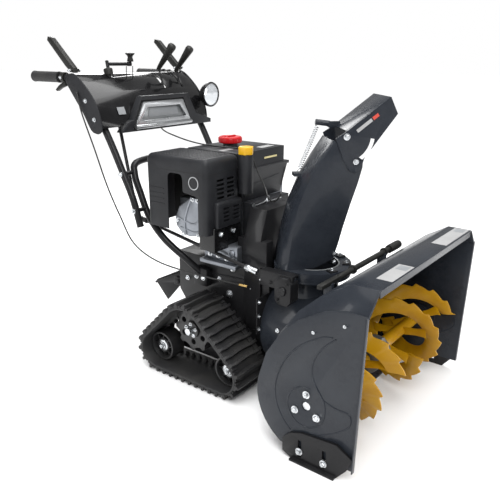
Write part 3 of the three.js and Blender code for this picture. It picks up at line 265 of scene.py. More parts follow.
def arc(centre: Point, radius: float, start: float, end: float, count: int) -> list[tuple]:
    """Flat points on a circle, from one angle in degrees to another."""
    turns = [math.radians(start + (end - start) * i / count) for i in range(count + 1)]
    return [(centre[0] + radius * math.cos(t), centre[1] + radius * math.sin(t)) for t in turns]


class Form:
    """A mesh being built in mm, put into the frame when it is finished."""

    def __init__(self, turn: Matrix = TO_FRAME) -> None:
        """Start empty; turn takes its millimetres to the frame."""
        self.bm = bmesh.new()
        self.turn = turn

    def loft(self, rings: Sequence[Sequence[Point]], closed: bool = False,
             caps: bool = True) -> "Form":
        """Join rings of equal count into a skin.

        Args:
            rings: the rings, each a list of points.
            closed: whether the last ring joins the first.
            caps: whether the two ends are closed.

        Returns:
            This form.
        """
        bm = self.bm
        made = [[bm.verts.new(p) for p in ring] for ring in rings]
        size = len(made[0])
        for i in range(len(made) if closed else len(made) - 1):
            a, b = made[i], made[(i + 1) % len(made)]
            for j in range(size):
                bm.faces.new((a[j], a[(j + 1) % size], b[(j + 1) % size], b[j]))
        if caps and not closed:
            bm.faces.new(reversed(made[0]))
            bm.faces.new(made[-1])
        return self

    def lathe(self, profile: Line, at: Point, axis: Point, sides: int = 32) -> "Form":
        """Turn a closed (radius, height) outline about an axis through a point."""
        up = Vector(axis).normalized()
        side = up.orthogonal().normalized()
        other = up.cross(side)
        spokes = []
        for i in range(sides):
            angle = 2 * math.pi * i / sides
            out = side * math.cos(angle) + other * math.sin(angle)
            spokes.append([Vector(at) + out * max(r, 0.01) + up * h for r, h in profile])
        return self.loft(spokes, closed=True)

    def rod(self, a: Point, b: Point, radius: float, tip: Optional[float] = None,
            sides: int = 24) -> "Form":
        """A round bar or cone between two points."""
        a, b = Vector(a), Vector(b)
        up = (b - a).normalized()
        side = up.orthogonal().normalized()
        other = up.cross(side)
        end = radius if tip is None else tip
        angles = [2 * math.pi * i / sides for i in range(sides)]
        ring = lambda c, r: [c + (side * math.cos(t) + other * math.sin(t)) * r for t in angles]
        return self.loft([ring(a, radius), ring(b, end)])

    def tube(self, line: Line, radius: float, sides: int = 16, closed: bool = False) -> "Form":
        """A round tube along a line of points."""
        line = [Vector(p) for p in line]
        count = len(line)
        ahead = []
        for i in range(count):
            a = line[(i - 1) % count] if closed or i else line[0]
            b = line[(i + 1) % count] if closed or i < count - 1 else line[-1]
            ahead.append((b - a).normalized())
        side = ahead[0].orthogonal().normalized()
        rings = []
        for point, way in zip(line, ahead):
            side = (side - way * side.dot(way)).normalized()
            other = way.cross(side)
            rings.append([point + (side * math.cos(t) + other * math.sin(t)) * radius
                          for t in (2 * math.pi * i / sides for i in range(sides))])
        return self.loft(rings, closed=closed)

    def prism(self, outline: Line, low: float, high: float, along: str = "x") -> "Form":
        """Push a flat outline along an axis: (y, z) along x, (x, z) along y, (x, y) along z."""
        place: dict[str, Callable] = {
            "x": lambda u, v, w: (w, u, v),
            "y": lambda u, v, w: (u, w, v),
            "z": lambda u, v, w: (u, v, w),
        }
        put = place[along]
        return self.loft([[put(u, v, low) for u, v in outline],
                          [put(u, v, high) for u, v in outline]])

    def block(self, x: Point, y: Point, z: Point) -> "Form":
        """A plain block between two values on each axis."""
        return self.prism([(x[0], y[0]), (x[1], y[0]), (x[1], y[1]), (x[0], y[1])], z[0], z[1], "z")

    def skin(self, rows: Sequence[Sequence[Point]]) -> "Form":
        """An open sheet over a grid of points."""
        made = [[self.bm.verts.new(p) for p in row] for row in rows]
        for a, b in zip(made, made[1:]):
            for j in range(len(a) - 1):
                self.bm.faces.new((a[j], a[j + 1], b[j + 1], b[j]))
        return self

    def mesh(self, name: str) -> bpy.types.Mesh:
        """The finished mesh, in the frame's metres with its faces pointing out."""
        bmesh.ops.remove_doubles(self.bm, verts=self.bm.verts, dist=1e-4)
        bmesh.ops.recalc_face_normals(self.bm, faces=self.bm.faces)
        self.bm.transform(self.turn)
        mesh = bpy.data.meshes.new(name)
        self.bm.to_mesh(mesh)
        self.bm.free()
        return mesh


def baked(mesh: bpy.types.Mesh, modify: Callable[[bpy.types.Object], None]) -> bpy.types.Mesh:
    """The mesh after some modifiers, as plain mesh data.

    Args:
        mesh: what the modifiers work on.
        modify: adds the modifiers to the object it is given.

    Returns:
        The new mesh.
    """
    holder = bpy.data.objects.new("holder", mesh)
    bpy.context.scene.collection.objects.link(holder)
    modify(holder)
    graph = bpy.context.evaluated_depsgraph_get()
    made = bpy.data.meshes.new_from_object(holder.evaluated_get(graph), depsgraph=graph)
    bpy.data.objects.remove(holder)
    return made


def rounded(mesh: bpy.types.Mesh, width: float, above: float = 35) -> bpy.types.Mesh:
    """The mesh with edges sharper than an angle rounded over a width in mm."""
    def modify(holder: bpy.types.Object) -> None:
        """Add the bevel."""
        bevel = holder.modifiers.new("bevel", "BEVEL")
        bevel.width = width * MM
        bevel.segments = 2
        bevel.limit_method = "ANGLE"
        bevel.angle_limit = math.radians(above)
        bevel.use_clamp_overlap = True
    return baked(mesh, modify)


def cut(mesh: bpy.types.Mesh, tool: bpy.types.Mesh) -> bpy.types.Mesh:
    """The mesh with the tool's shape taken away."""
    cutter = bpy.data.objects.new("cutter", tool)
    bpy.context.scene.collection.objects.link(cutter)

    def modify(holder: bpy.types.Object) -> None:
        """Add the cut."""
        boolean = holder.modifiers.new("cut", "BOOLEAN")
        boolean.operation = "DIFFERENCE"
        boolean.solver = "EXACT"
        boolean.object = cutter
    made = baked(mesh, modify)
    bpy.data.objects.remove(cutter)
    return made


def refined(node: str, width: float = 0.8, above: float = 35) -> bpy.types.Mesh:
    """A copy of a frame node's mesh with its triangles joined, flattened and its edges rounded."""
    bm = bmesh.new()
    bm.from_mesh(NODES[node].data)
    bmesh.ops.remove_doubles(bm, verts=bm.verts, dist=2e-5)
    bmesh.ops.dissolve_degenerate(bm, edges=bm.edges, dist=2e-5)
    bmesh.ops.dissolve_limit(bm, angle_limit=math.radians(0.8), verts=bm.verts, edges=bm.edges)
    mesh = bpy.data.meshes.new(node)
    bm.to_mesh(mesh)
    bm.free()
    return rounded(mesh, width, above) if width else mesh


def shade(mesh: bpy.types.Mesh, crease: float = 33) -> None:
    """Smooth shading, with edges above the crease angle in degrees kept sharp."""
    mesh.polygons.foreach_set("use_smooth", [True] * len(mesh.polygons))
    mesh.set_sharp_from_angle(angle=math.radians(crease))


def add_piece(name: str, mesh: bpy.types.Mesh, finish: Finish, body: str,
              stands_for: Iterable[str] = (), crease: float = 33) -> bpy.types.Object:
    """Put a finished mesh into the scene as a piece of the machine.

    Args:
        name: the piece's name.
        mesh: its mesh, in the frame's metres.
        finish: its surface.
        body: the frame body that it rides on.
        stands_for: the frame nodes that it replaces.
        crease: the angle above which an edge looks sharp.

    Returns:
        The new object.
    """
    mesh.name = name
    mesh.materials.clear()
    mesh.materials.append(finish.material())
    mesh.polygons.foreach_set("material_index", [0] * len(mesh.polygons))
    shade(mesh, crease)
    made = bpy.data.objects.new(name, mesh)
    bpy.context.scene.collection.objects.link(made)
    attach(made, body)
    for node in stands_for:
        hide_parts(node)
    LOG.info("%s: %d faces on %s", name, len(mesh.polygons), body)
    return made


# ------------------------------------------------------------------ repeated pieces
class Tree:
    """A geometry node tree, written with short calls."""

    def __init__(self, name: str) -> None:
        """Start an empty tree with a geometry going in and out."""
        self.tree = bpy.data.node_groups.new(name, "GeometryNodeTree")
        self.tree.interface.new_socket("Geometry", in_out="INPUT",
                                       socket_type="NodeSocketGeometry")
        self.tree.interface.new_socket("Geometry", in_out="OUTPUT",
                                       socket_type="NodeSocketGeometry")
        self.entry = self.tree.nodes.new("NodeGroupInput")
        self.exit = self.tree.nodes.new("NodeGroupOutput")

    def size(self, name: str, kind: str, value: object = None) -> str:
        """Add a named input and return its identifier."""
        socket = self.tree.interface.new_socket(name, in_out="INPUT", socket_type=kind)
        if value is not None:
            socket.default_value = value
        return socket.identifier

    def node(self, kind: str, **settings: object) -> bpy.types.Node:
        """Add a node and set its properties."""
        made = self.tree.nodes.new(kind)
        for key, value in settings.items():
            setattr(made, key, value)
        return made

    def join(self, source: bpy.types.NodeSocket, target: bpy.types.NodeSocket) -> None:
        """Link an output to an input."""
        self.tree.links.new(source, target)

    def finish(self, geometry: bpy.types.NodeSocket) -> None:
        """Realize, dress with the Finish input and end the tree."""
        real = self.node("GeometryNodeRealizeInstances")
        dress = self.node("GeometryNodeSetMaterial")
        self.join(geometry, real.inputs["Geometry"])
        self.join(real.outputs["Geometry"], dress.inputs["Geometry"])
        self.join(self.entry.outputs["Finish"], dress.inputs["Material"])
        self.join(dress.outputs["Geometry"], self.exit.inputs["Geometry"])


class Copies:
    """Copies of one pattern mesh on points that know which way they face."""

    def __init__(self) -> None:
        """Build the tree once."""
        made = Tree("copies on points")
        self.pattern = made.size("Pattern", "NodeSocketObject")
        self.finish = made.size("Finish", "NodeSocketMaterial")
        self.jitter = made.size("Spin", "NodeSocketFloat", 0.0)
        self.seed = made.size("Seed", "NodeSocketInt", 3)
        self.tree = made.tree
        facing = made.node("GeometryNodeInputNamedAttribute", data_type="FLOAT_VECTOR")
        facing.inputs["Name"].default_value = "facing"
        across = made.node("GeometryNodeInputNamedAttribute", data_type="FLOAT_VECTOR")
        across.inputs["Name"].default_value = "across"
        turn = made.node("FunctionNodeAxesToRotation", primary_axis="Z", secondary_axis="X")
        made.join(facing.outputs["Attribute"], turn.inputs["Primary Axis"])
        made.join(across.outputs["Attribute"], turn.inputs["Secondary Axis"])
        shape = made.node("GeometryNodeObjectInfo")
        made.join(made.entry.outputs["Pattern"], shape.inputs["Object"])
        place = made.node("GeometryNodeInstanceOnPoints")
        made.join(made.entry.outputs["Geometry"], place.inputs["Points"])
        made.join(shape.outputs["Geometry"], place.inputs["Instance"])
        made.join(turn.outputs["Rotation"], place.inputs["Rotation"])
        chance = made.node("FunctionNodeRandomValue", data_type="FLOAT")
        made.join(made.entry.outputs["Seed"], chance.inputs["Seed"])
        made.join(made.entry.outputs["Spin"], chance.inputs[3])
        spin = made.node("ShaderNodeCombineXYZ")
        made.join(chance.outputs[1], spin.inputs["Z"])
        rotate = made.node("GeometryNodeRotateInstances")
        made.join(place.outputs["Instances"], rotate.inputs["Instances"])
        made.join(spin.outputs["Vector"], rotate.inputs["Rotation"])
        made.finish(rotate.outputs["Instances"])

    def place(self, pattern: bpy.types.Mesh, points: Sequence[tuple[Point, Point, Point]],
              finish: Finish, turn: Matrix = TO_FRAME, spin: float = 0.0) -> bpy.types.Mesh:
        """Lay out copies of a pattern.

        Args:
            pattern: the mesh to repeat, its Z facing out of the surface, in metres.
            points: for each copy its place in mm, the way it faces and its X direction.
            finish: the surface of all copies.
            turn: takes the points' millimetres to the frame.
            spin: the largest random turn of a copy about its own axis, in radians.

        Returns:
            One plain mesh of all the copies.
        """
        mesh = bpy.data.meshes.new("points")
        mesh.from_pydata([turn @ Vector(p) for p, _, _ in points], [], [])
        flat = turn.to_3x3()
        for name, column in (("facing", 1), ("across", 2)):
            field = mesh.attributes.new(name, "FLOAT_VECTOR", "POINT")
            values = [(flat @ Vector(point[column])).normalized() for point in points]
            field.data.foreach_set("vector", [c for v in values for c in v])
        shape = bpy.data.objects.new("pattern", pattern)
        bpy.context.scene.collection.objects.link(shape)

        def modify(holder: bpy.types.Object) -> None:
            """Add the tree and fill in its inputs."""
            nodes = holder.modifiers.new("copies", "NODES")
            nodes.node_group = self.tree
            nodes[self.pattern] = shape
            nodes[self.finish] = finish.material()
            nodes[self.jitter] = spin
            nodes[self.seed] = 7
        made = baked(mesh, modify)
        bpy.data.objects.remove(shape)
        return made


class CoilSpring:
    """A helical wire spring."""

    def __init__(self) -> None:
        """Build the tree once."""
        made = Tree("coil spring")
        self.inputs = {
            "Turns": made.size("Turns", "NodeSocketFloat", 20.0),
            "Coil Radius": made.size("Coil Radius", "NodeSocketFloat", 0.008),
            "Length": made.size("Length", "NodeSocketFloat", 0.12),
            "Wire Radius": made.size("Wire Radius", "NodeSocketFloat", 0.001),
            "Finish": made.size("Finish", "NodeSocketMaterial"),
        }
        self.tree = made.tree
        spiral = made.node("GeometryNodeCurveSpiral")
        spiral.inputs["Resolution"].default_value = 18
        for name, inputs in (("Turns", ("Rotations",)), ("Length", ("Height",)),
                             ("Coil Radius", ("Start Radius", "End Radius"))):
            for target in inputs:
                made.join(made.entry.outputs[name], spiral.inputs[target])
        ring = made.node("GeometryNodeCurvePrimitiveCircle")
        ring.inputs["Resolution"].default_value = 8
        made.join(made.entry.outputs["Wire Radius"], ring.inputs["Radius"])
        wire = made.node("GeometryNodeCurveToMesh")
        wire.inputs["Fill Caps"].default_value = True
        made.join(spiral.outputs["Curve"], wire.inputs["Curve"])
        made.join(ring.outputs["Curve"], wire.inputs["Profile Curve"])
        made.finish(wire.outputs["Mesh"])

    def wind(self, a: Vector, b: Vector, turns: float, radius: float, wire: float,
             finish: Finish) -> bpy.types.Mesh:
        """A spring from a to b in metres, with its radii in mm."""
        values = {"Turns": turns, "Coil Radius": radius * MM, "Length": (b - a).length,
                  "Wire Radius": wire * MM, "Finish": finish.material()}

        def modify(holder: bpy.types.Object) -> None:
            """Add the tree and fill in its inputs."""
            nodes = holder.modifiers.new("spring", "NODES")
            nodes.node_group = self.tree
            for name, value in values.items():
                nodes[self.inputs[name]] = value
        made = baked(bpy.data.meshes.new("empty"), modify)
        made.transform(Matrix.Translation(a) @ (b - a).to_track_quat("Z", "Y").to_matrix().to_4x4())
        return made


def bolt_pattern(head: float = 6.5, height: float = 5.5, washer: float = 9.5) -> bpy.types.Mesh:
    """A hex head on a washer with a stub of thread, facing Z, sizes in mm."""
    form = Form(Matrix.Scale(MM, 4))
    form.lathe([(0, -2), (washer, -2), (washer, 1.4), (washer * 0.72, 1.9), (0, 1.9)],
               (0, 0, 0), (0, 0, 1), 20)
    flat = [(head * math.cos(math.radians(60 * i)), head * math.sin(math.radians(60 * i)))
            for i in range(6)]
    rings = [[(x, y, 1.8) for x, y in flat], [(x, y, 1.8 + height * 0.8) for x, y in flat],
             [(x * 0.86, y * 0.86, 1.8 + height) for x, y in flat]]
    form.loft(rings)
    form.rod((0, 0, height), (0, 0, height + 3.4), head * 0.5, head * 0.42, 12)
    return form.mesh("bolt")


COPIES: Copies
SPRINGS: CoilSpring
NODES: dict[str, bpy.types.Object] = {}


def add_bolts(name: str, points: Sequence[tuple[Point, Point]], body: str, head: float = 6.5,
              finish: Finish = ZINC, turn: Matrix = TO_FRAME) -> None:
    """Zinc bolts at places in mm, each with the way it faces."""
    full = [(p, f, Vector(f).orthogonal()) for p, f in points]
    mesh = COPIES.place(bolt_pattern(head, head * 0.85, head * 1.45), full, finish, turn, 1.0)
    add_piece(name, mesh, finish, body)


# ------------------------------------------------------------------ auger housing
@dataclass
class Housing:
    """The auger housing with its side plates, skid shoes, scraper edge and roof."""

    half_width: float = 380.0
    roof_z: float = 532.5
    side_top: float = 480.0
    crease: float = 51.0
    ridge: float = 2.6
    shoe_bolts: tuple = ((98, 30), (175, 34))

    def build(self) -> None:
        """Make every piece of the housing."""
        add_piece("housing_wrap", refined("auger_housing", 1.2), SLATE, "machine",
                  ["auger_housing"], 30)
        for side, s in SIDES:
            add_piece(f"side_plate_{side}_skin", refined(f"side_plate_{side}", 1.0), SLATE,
                      "machine", [f"side_plate_{side}"])
            add_piece(f"skid_shoe_{side}_skin", refined(f"skid_shoe_{side}", 1.6), BLACK_PAINT,
                      "machine", [f"skid_shoe_{side}"])
            self.pressings(side, s)
        self.rim()
        self.labels()
        self.fasteners()

    def pressings(self, side: str, s: int) -> None:
        """The pressed lines and the round boss on a side plate."""
        x = s * (self.half_width - 1.0)
        outer = [(95, 399), (118, 394), (139, 383), (189, 348), (236, 292), (263, 220), (262, 161),
                 (241, 114), (211, 83)]
        wave = [(85, 397), (118, 365), (144, 323), (149, 281), (135, 245), (113, 213), (106, 179),
                (117, 141), (154, 114), (198, 121), (223, 160), (214, 202), (185, 228), (154, 232)]
        foot = [(113, 213), (74, 203), (36, 200), (33, 168), (60, 140), (108, 110), (150, 100)]
        form = Form()
        for line in (outer, wave, foot):
            form.tube(smooth_line([(x, y, z) for y, z in line], 6), self.ridge, 10)
        add_piece(f"side_pressing_{side}", form.mesh("pressing"), SLATE, "machine")

    def rim(self) -> None:
        """The rolled rim along the mouth's upper edge."""
        w, c = self.half_width - 1, self.half_width - self.crease
        line = [(-w, 1, self.side_top - 4), (-c - 3, 0, self.roof_z - 4), (-c + 5, 0, self.roof_z - 1),
                (c - 5, 0, self.roof_z - 1), (c + 3, 0, self.roof_z - 4), (w, 1, self.side_top - 4)]
        add_piece("mouth_rim", Form().tube(line, 2.4, 12).mesh("rim"), SLATE, "machine")

    def labels(self) -> None:
        """Two blank labels on the roof, each with a plain second field."""
        z = self.roof_z
        form, field = Form(), Form()
        for x0, x1, y0, y1 in ((-258, -120, -0, 46), (118, 322, 4, 50)):
            form.block((x0, x1), (y0, y1), (z - 0.5, z + 0.5))
            field.block((x1 - 42, x1 - 8), (y0 + 8, y1 - 8), (z, z + 0.8))
        add_piece("roof_labels", form.mesh("labels"), LABEL, "machine")
        add_piece("roof_label_fields", field.mesh("fields"), LABEL_GREY, "machine")

    def fasteners(self) -> None:
        """Bolts of the auger bearings, skid shoes and roof flange."""
        points = []
        for _, s in SIDES:
            out = (s, 0, 0)
            points += [((s * 381.5, y, z), out) for y, z in ((163.5, 212), (198, 154), (130, 154))]
            points += [((s * 389.6, y, z), out) for y, z in self.shoe_bolts]
        add_bolts("housing_bolts", points, "machine", 7.5)
        roof = [((s * 381.0, y, z), (s, 0, 0)) for _, s in SIDES for y, z in ((62, 440), (150, 398))]
        add_bolts("housing_rivets", roof, "machine", 3.2)


# ------------------------------------------------------------------ augers and impeller
@dataclass
class Augers:
    """Both auger spirals with their shaft and gearbox, and the impeller behind them."""

    radius: float = 146.0
    width: float = 62.0
    thickness: float = 5.0
    tooth: float = 15.0
    teeth: int = 15
    first: float = 62.0
    last: float = 357.0
    sweep: float = 1.9 * math.pi
    steps: int = 150
    dish: float = 12.0
    saw_peak: float = 0.86
    tube_end: float = 361.0

    def build(self) -> None:
        """Make the spirals, shaft, gearbox and impeller."""
        for side, s in SIDES:
            add_piece(f"auger_spiral_{side}", rounded(self.spiral(s), 1.2, 50), AUGER_PAINT,
                      "auger", [f"auger_{side}"], 40)
        add_piece("auger_cross_shaft", refined("auger_shaft"), ZINC, "auger", ["auger_shaft"])
        add_piece("auger_gear_case", refined("auger_gearbox", 2.0), CASTING, "machine",
                  ["auger_gearbox"])
        self.gear_case_plate()
        self.impeller()

    def point(self, x: float, angle: float, radius: float) -> Vector:
        """A place about the auger's axis, in mm."""
        return Vector((x, AUGER_Y + radius * math.cos(angle), AUGER_Z + radius * math.sin(angle)))

    def spiral(self, s: int) -> bpy.types.Mesh:
        """Two serrated ribbons, their struts and the tube, on one side."""
        form = Form()
        form.lathe([(13.2, 44), (20, 44), (20, self.tube_end), (13.2, self.tube_end)], (0, AUGER_Y, AUGER_Z),
                   (s, 0, 0), 28)
        travel = self.last - self.first - self.thickness
        inner = self.radius - self.width
        for start in (0.0, math.pi):
            place = lambda share: (s * (self.first + travel * share),
                                   start + s * share * self.sweep)
            rings = []
            for i in range(self.steps + 1):
                share = i / self.steps
                x, angle = place(share)
                saw = share * self.teeth % 1.0
                back = (1 - saw) / (1 - self.saw_peak) * self.saw_peak
                tip = self.radius - self.tooth * (saw if saw < self.saw_peak else back)
                wall, dish = self.thickness, self.dish
                ends = math.sin(math.pi * min(1, max(0, share))) ** 0.25
                low = inner + (1 - ends) * 12
                rings.append([
                    self.point(x + s * dish, angle, low),
                    self.point(x + s * dish * 0.2, angle, (low + tip) / 2),
                    self.point(x, angle, tip),
                    self.point(x + s * wall, angle, tip),
                    self.point(x + s * (dish * 0.2 + wall), angle, (low + tip) / 2),
                    self.point(x + s * (dish + wall), angle, low),
                ])
            form.loft(rings)
            for share in (0.04, 0.5, 0.96):
                x, angle = place(share)
                self.strut(form, x + s * 6, angle, inner + 12)
        return form.mesh("spiral")

    def strut(self, form: Form, x: float, angle: float, reach: float) -> None:
        """A flat strut that widens towards the ribbon."""
        rings = []
        for radius, half in ((17, 15), (30, 13), (60, 12), (reach - 10, 15), (reach, 20)):
            tilt = half / radius
            rings.append([self.point(x - 2.5, angle - tilt, radius),
                          self.point(x - 2.5, angle + tilt, radius),
                          self.point(x + 2.5, angle + tilt, radius),
                          self.point(x + 2.5, angle - tilt, radius)])
        form.loft(rings)

    def gear_case_plate(self) -> None:
        """Bolts that hold the two halves of the gear case together."""
        ring = [(AUGER_Y + 44 * math.cos(t), AUGER_Z + 44 * math.sin(t))
                for t in (math.radians(60 * i + 20) for i in range(6))]
        points = [((s * 40.2, y, z), (s, 0, 0)) for s in (-1, 1) for y, z in ring]
        add_bolts("gear_case_bolts", points, "machine", 4.0)

    def impeller(self) -> None:
        """The impeller and its shaft."""
        add_piece("impeller_rotor", refined("impeller"), AUGER_PAINT, "impeller_unit", ["impeller"])
        add_piece("impeller_spindle", refined("impeller_shaft"), ZINC, "impeller_unit",
                  ["impeller_shaft"])


# ------------------------------------------------------------------ drum and chute
@dataclass
class Chute:
    """The impeller drum, turning chute, deflector and the worm that turns them."""

    half: float = 75.0
    pivot_out: float = 68.0
    pivot_z: float = 842.0
    guide: float = 80.0
    spring_turns: float = 21.0

    def build(self) -> None:
        """Make every piece from the drum to the deflector."""
        add_piece("impeller_drum", refined("impeller_housing", 1.0), SLATE, "machine",
                  ["impeller_housing"])
        add_piece("chute_trough", refined("chute", 1.2), SLATE, "chute_turret", ["chute"], 30)
        add_piece("deflector_hood", refined("chute_deflector", 1.0), SLATE, "deflector",
                  ["chute_deflector"], 30)
        self.ring()
        self.spring()
        self.deflector_marks()
        self.fasteners()
        self.worm()

    def ring(self) -> None:
        """Retaining clips and the pale inner lip of the turning ring."""
        form = Form(TO_TURRET)
        form.lathe([(83.0, 428), (86.5, 428), (87.5, 433.5), (84, 435), (82.5, 434)], (0, 0, 0),
                   (0, 0, 1), 64)
        add_piece("ring_lip", form.mesh("lip"), SURROUND, "chute_turret", (), 40)
        clips = Form(TO_TURRET)
        for angle in (200, 250, 290, 340):
            t = math.radians(angle)
            out, side = Vector((math.cos(t), math.sin(t), 0)), Vector((-math.sin(t), math.cos(t), 0))
            corner = lambda r, w, z: Vector(out * r + side * w) + Vector((0, 0, z))
            clips.loft([[corner(r, w, z) for r, w in ((96, -14), (122, -14), (122, 14), (96, 14))]
                        for z in (433, 438)])
        add_piece("ring_clips", rounded(clips.mesh("clips"), 1.2), BLACK_PAINT, "chute_turret")

    def spring(self) -> None:
        """The coil spring from the deflector's peg to the chute's bracket, with a hook at its lower end."""
        top = TO_TURRET @ Vector((self.half * 0.6, -10, 860))
        foot = TO_TURRET @ Vector((self.half * 0.6, 42, 728))
        mesh = SPRINGS.wind(foot, top, self.spring_turns, 6.2, 1.25, ZINC)
        add_piece("deflector_coil", mesh, ZINC, "chute_turret", ["deflector_spring"], 60)
        form = Form(TO_TURRET)
        line = smooth_line([(45, 42, 728), (45, 48, 722), (45, 51, 712), (45, 47, 706), (45, 42, 710)])
        form.tube(line, 1.2, 8)
        add_piece("spring_hook", form.mesh("hook"), ZINC, "chute_turret")

    def deflector_marks(self) -> None:
        """Blank label strips along the upper edge of both deflector cheeks."""
        a, b = Vector((0, -88, 858)), Vector((0, -180, 930))
        way = (b - a).normalized()
        down = Vector((0, way.z, -way.y)) * -1
        if down.z > 0:
            down = -down
        for name, finish, start, end in (("white", LABEL, 8, 62), ("red", LABEL_RED, 66, 86)):
            form = Form(TO_TURRET)
            for s in (-1, 1):
                x = s * (self.half + 3.6)
                corner = lambda d, w, k: a + way * d + down * w + Vector((x + k * 0.25, 0, 0))
                form.loft([[corner(d, w, k) for d, w in ((start, 3), (end, 3), (end, 13), (start, 13))]
                           for k in (-1, 1)])
            add_piece(f"deflector_label_{name}", form.mesh("label"), finish, "deflector")

    def fasteners(self) -> None:
        """Bolts of the deflector pivot and guide, drum flange and ring clips."""
        w = self.half + 4
        add_bolts("deflector_bolts", [((s * (w + 3.6), -self.pivot_out, self.pivot_z), (s, 0, 0))
                                      for s in (-1, 1)], "deflector", 7.0, turn=TO_TURRET)
        t = math.radians(247)
        y = -self.pivot_out + self.guide * math.cos(t)
        z = self.pivot_z + self.guide * math.sin(t)
        add_bolts("guide_bolts", [((s * (w + 3.6), y, z), (s, 0, 0)) for s in (-1, 1)],
                  "chute_turret", 6.0, turn=TO_TURRET)
        lower = [((s * 76.5, -50, z), (s, 0, 0)) for s in (-1, 1) for z in (456, 482)]
        add_bolts("chute_clip_bolts", lower, "chute_turret", 5.0, turn=TO_TURRET)
        clips = [((109 * math.cos(t), 109 * math.sin(t), 438), (0, 0, 1))
                 for t in (math.radians(a) for a in (200, 250, 290, 340))]
        add_bolts("ring_bolts", clips, "chute_turret", 5.0, turn=TO_TURRET)
        ring = []
        for i in range(10):
            t = math.radians(-60 + i * 33)
            y, x = 300 + 120 * (i % 2), 151 * math.cos(t)
            z = IMPELLER_Z + 151 * math.sin(t)
            if z < 330:
                ring.append(((x, y, z), (math.cos(t), 0, math.sin(t))))
        add_bolts("drum_bolts", ring, "machine", 5.0)

    def worm(self) -> None:
        """The worm box with its cover, the worm and its coupling."""
        add_piece("worm_box", refined("chute_gear_box", 2.0), BLACK_PAINT, "machine",
                  ["chute_gear_box"])
        form = Form()
        form.prism([(358, 352), (358, 410), (372, 428), (404, 428), (418, 410), (418, 352),
                    (404, 336), (372, 336)], -174, -130, "x")
        form.lathe([(0, 0), (15, 0), (15, 5), (12, 7), (0, 7)], (-174, 388, 384), (-1, 0, 0), 32)
        add_piece("worm_box_cover", rounded(form.mesh("cover"), 3.0), BLACK_PAINT, "machine")
        add_bolts("worm_box_bolts", [((-174.4, 370, 412), (-1, 0, 0)), ((-174.4, 406, 352), (-1, 0, 0)),
                                     ((-162.6, 440, 398), (-1, 0, 0))], "machine", 4.0, BLACK_PAINT)
        add_piece("worm_screw", refined("chute_worm"), ZINC, "chute_worm_unit", ["chute_worm"])


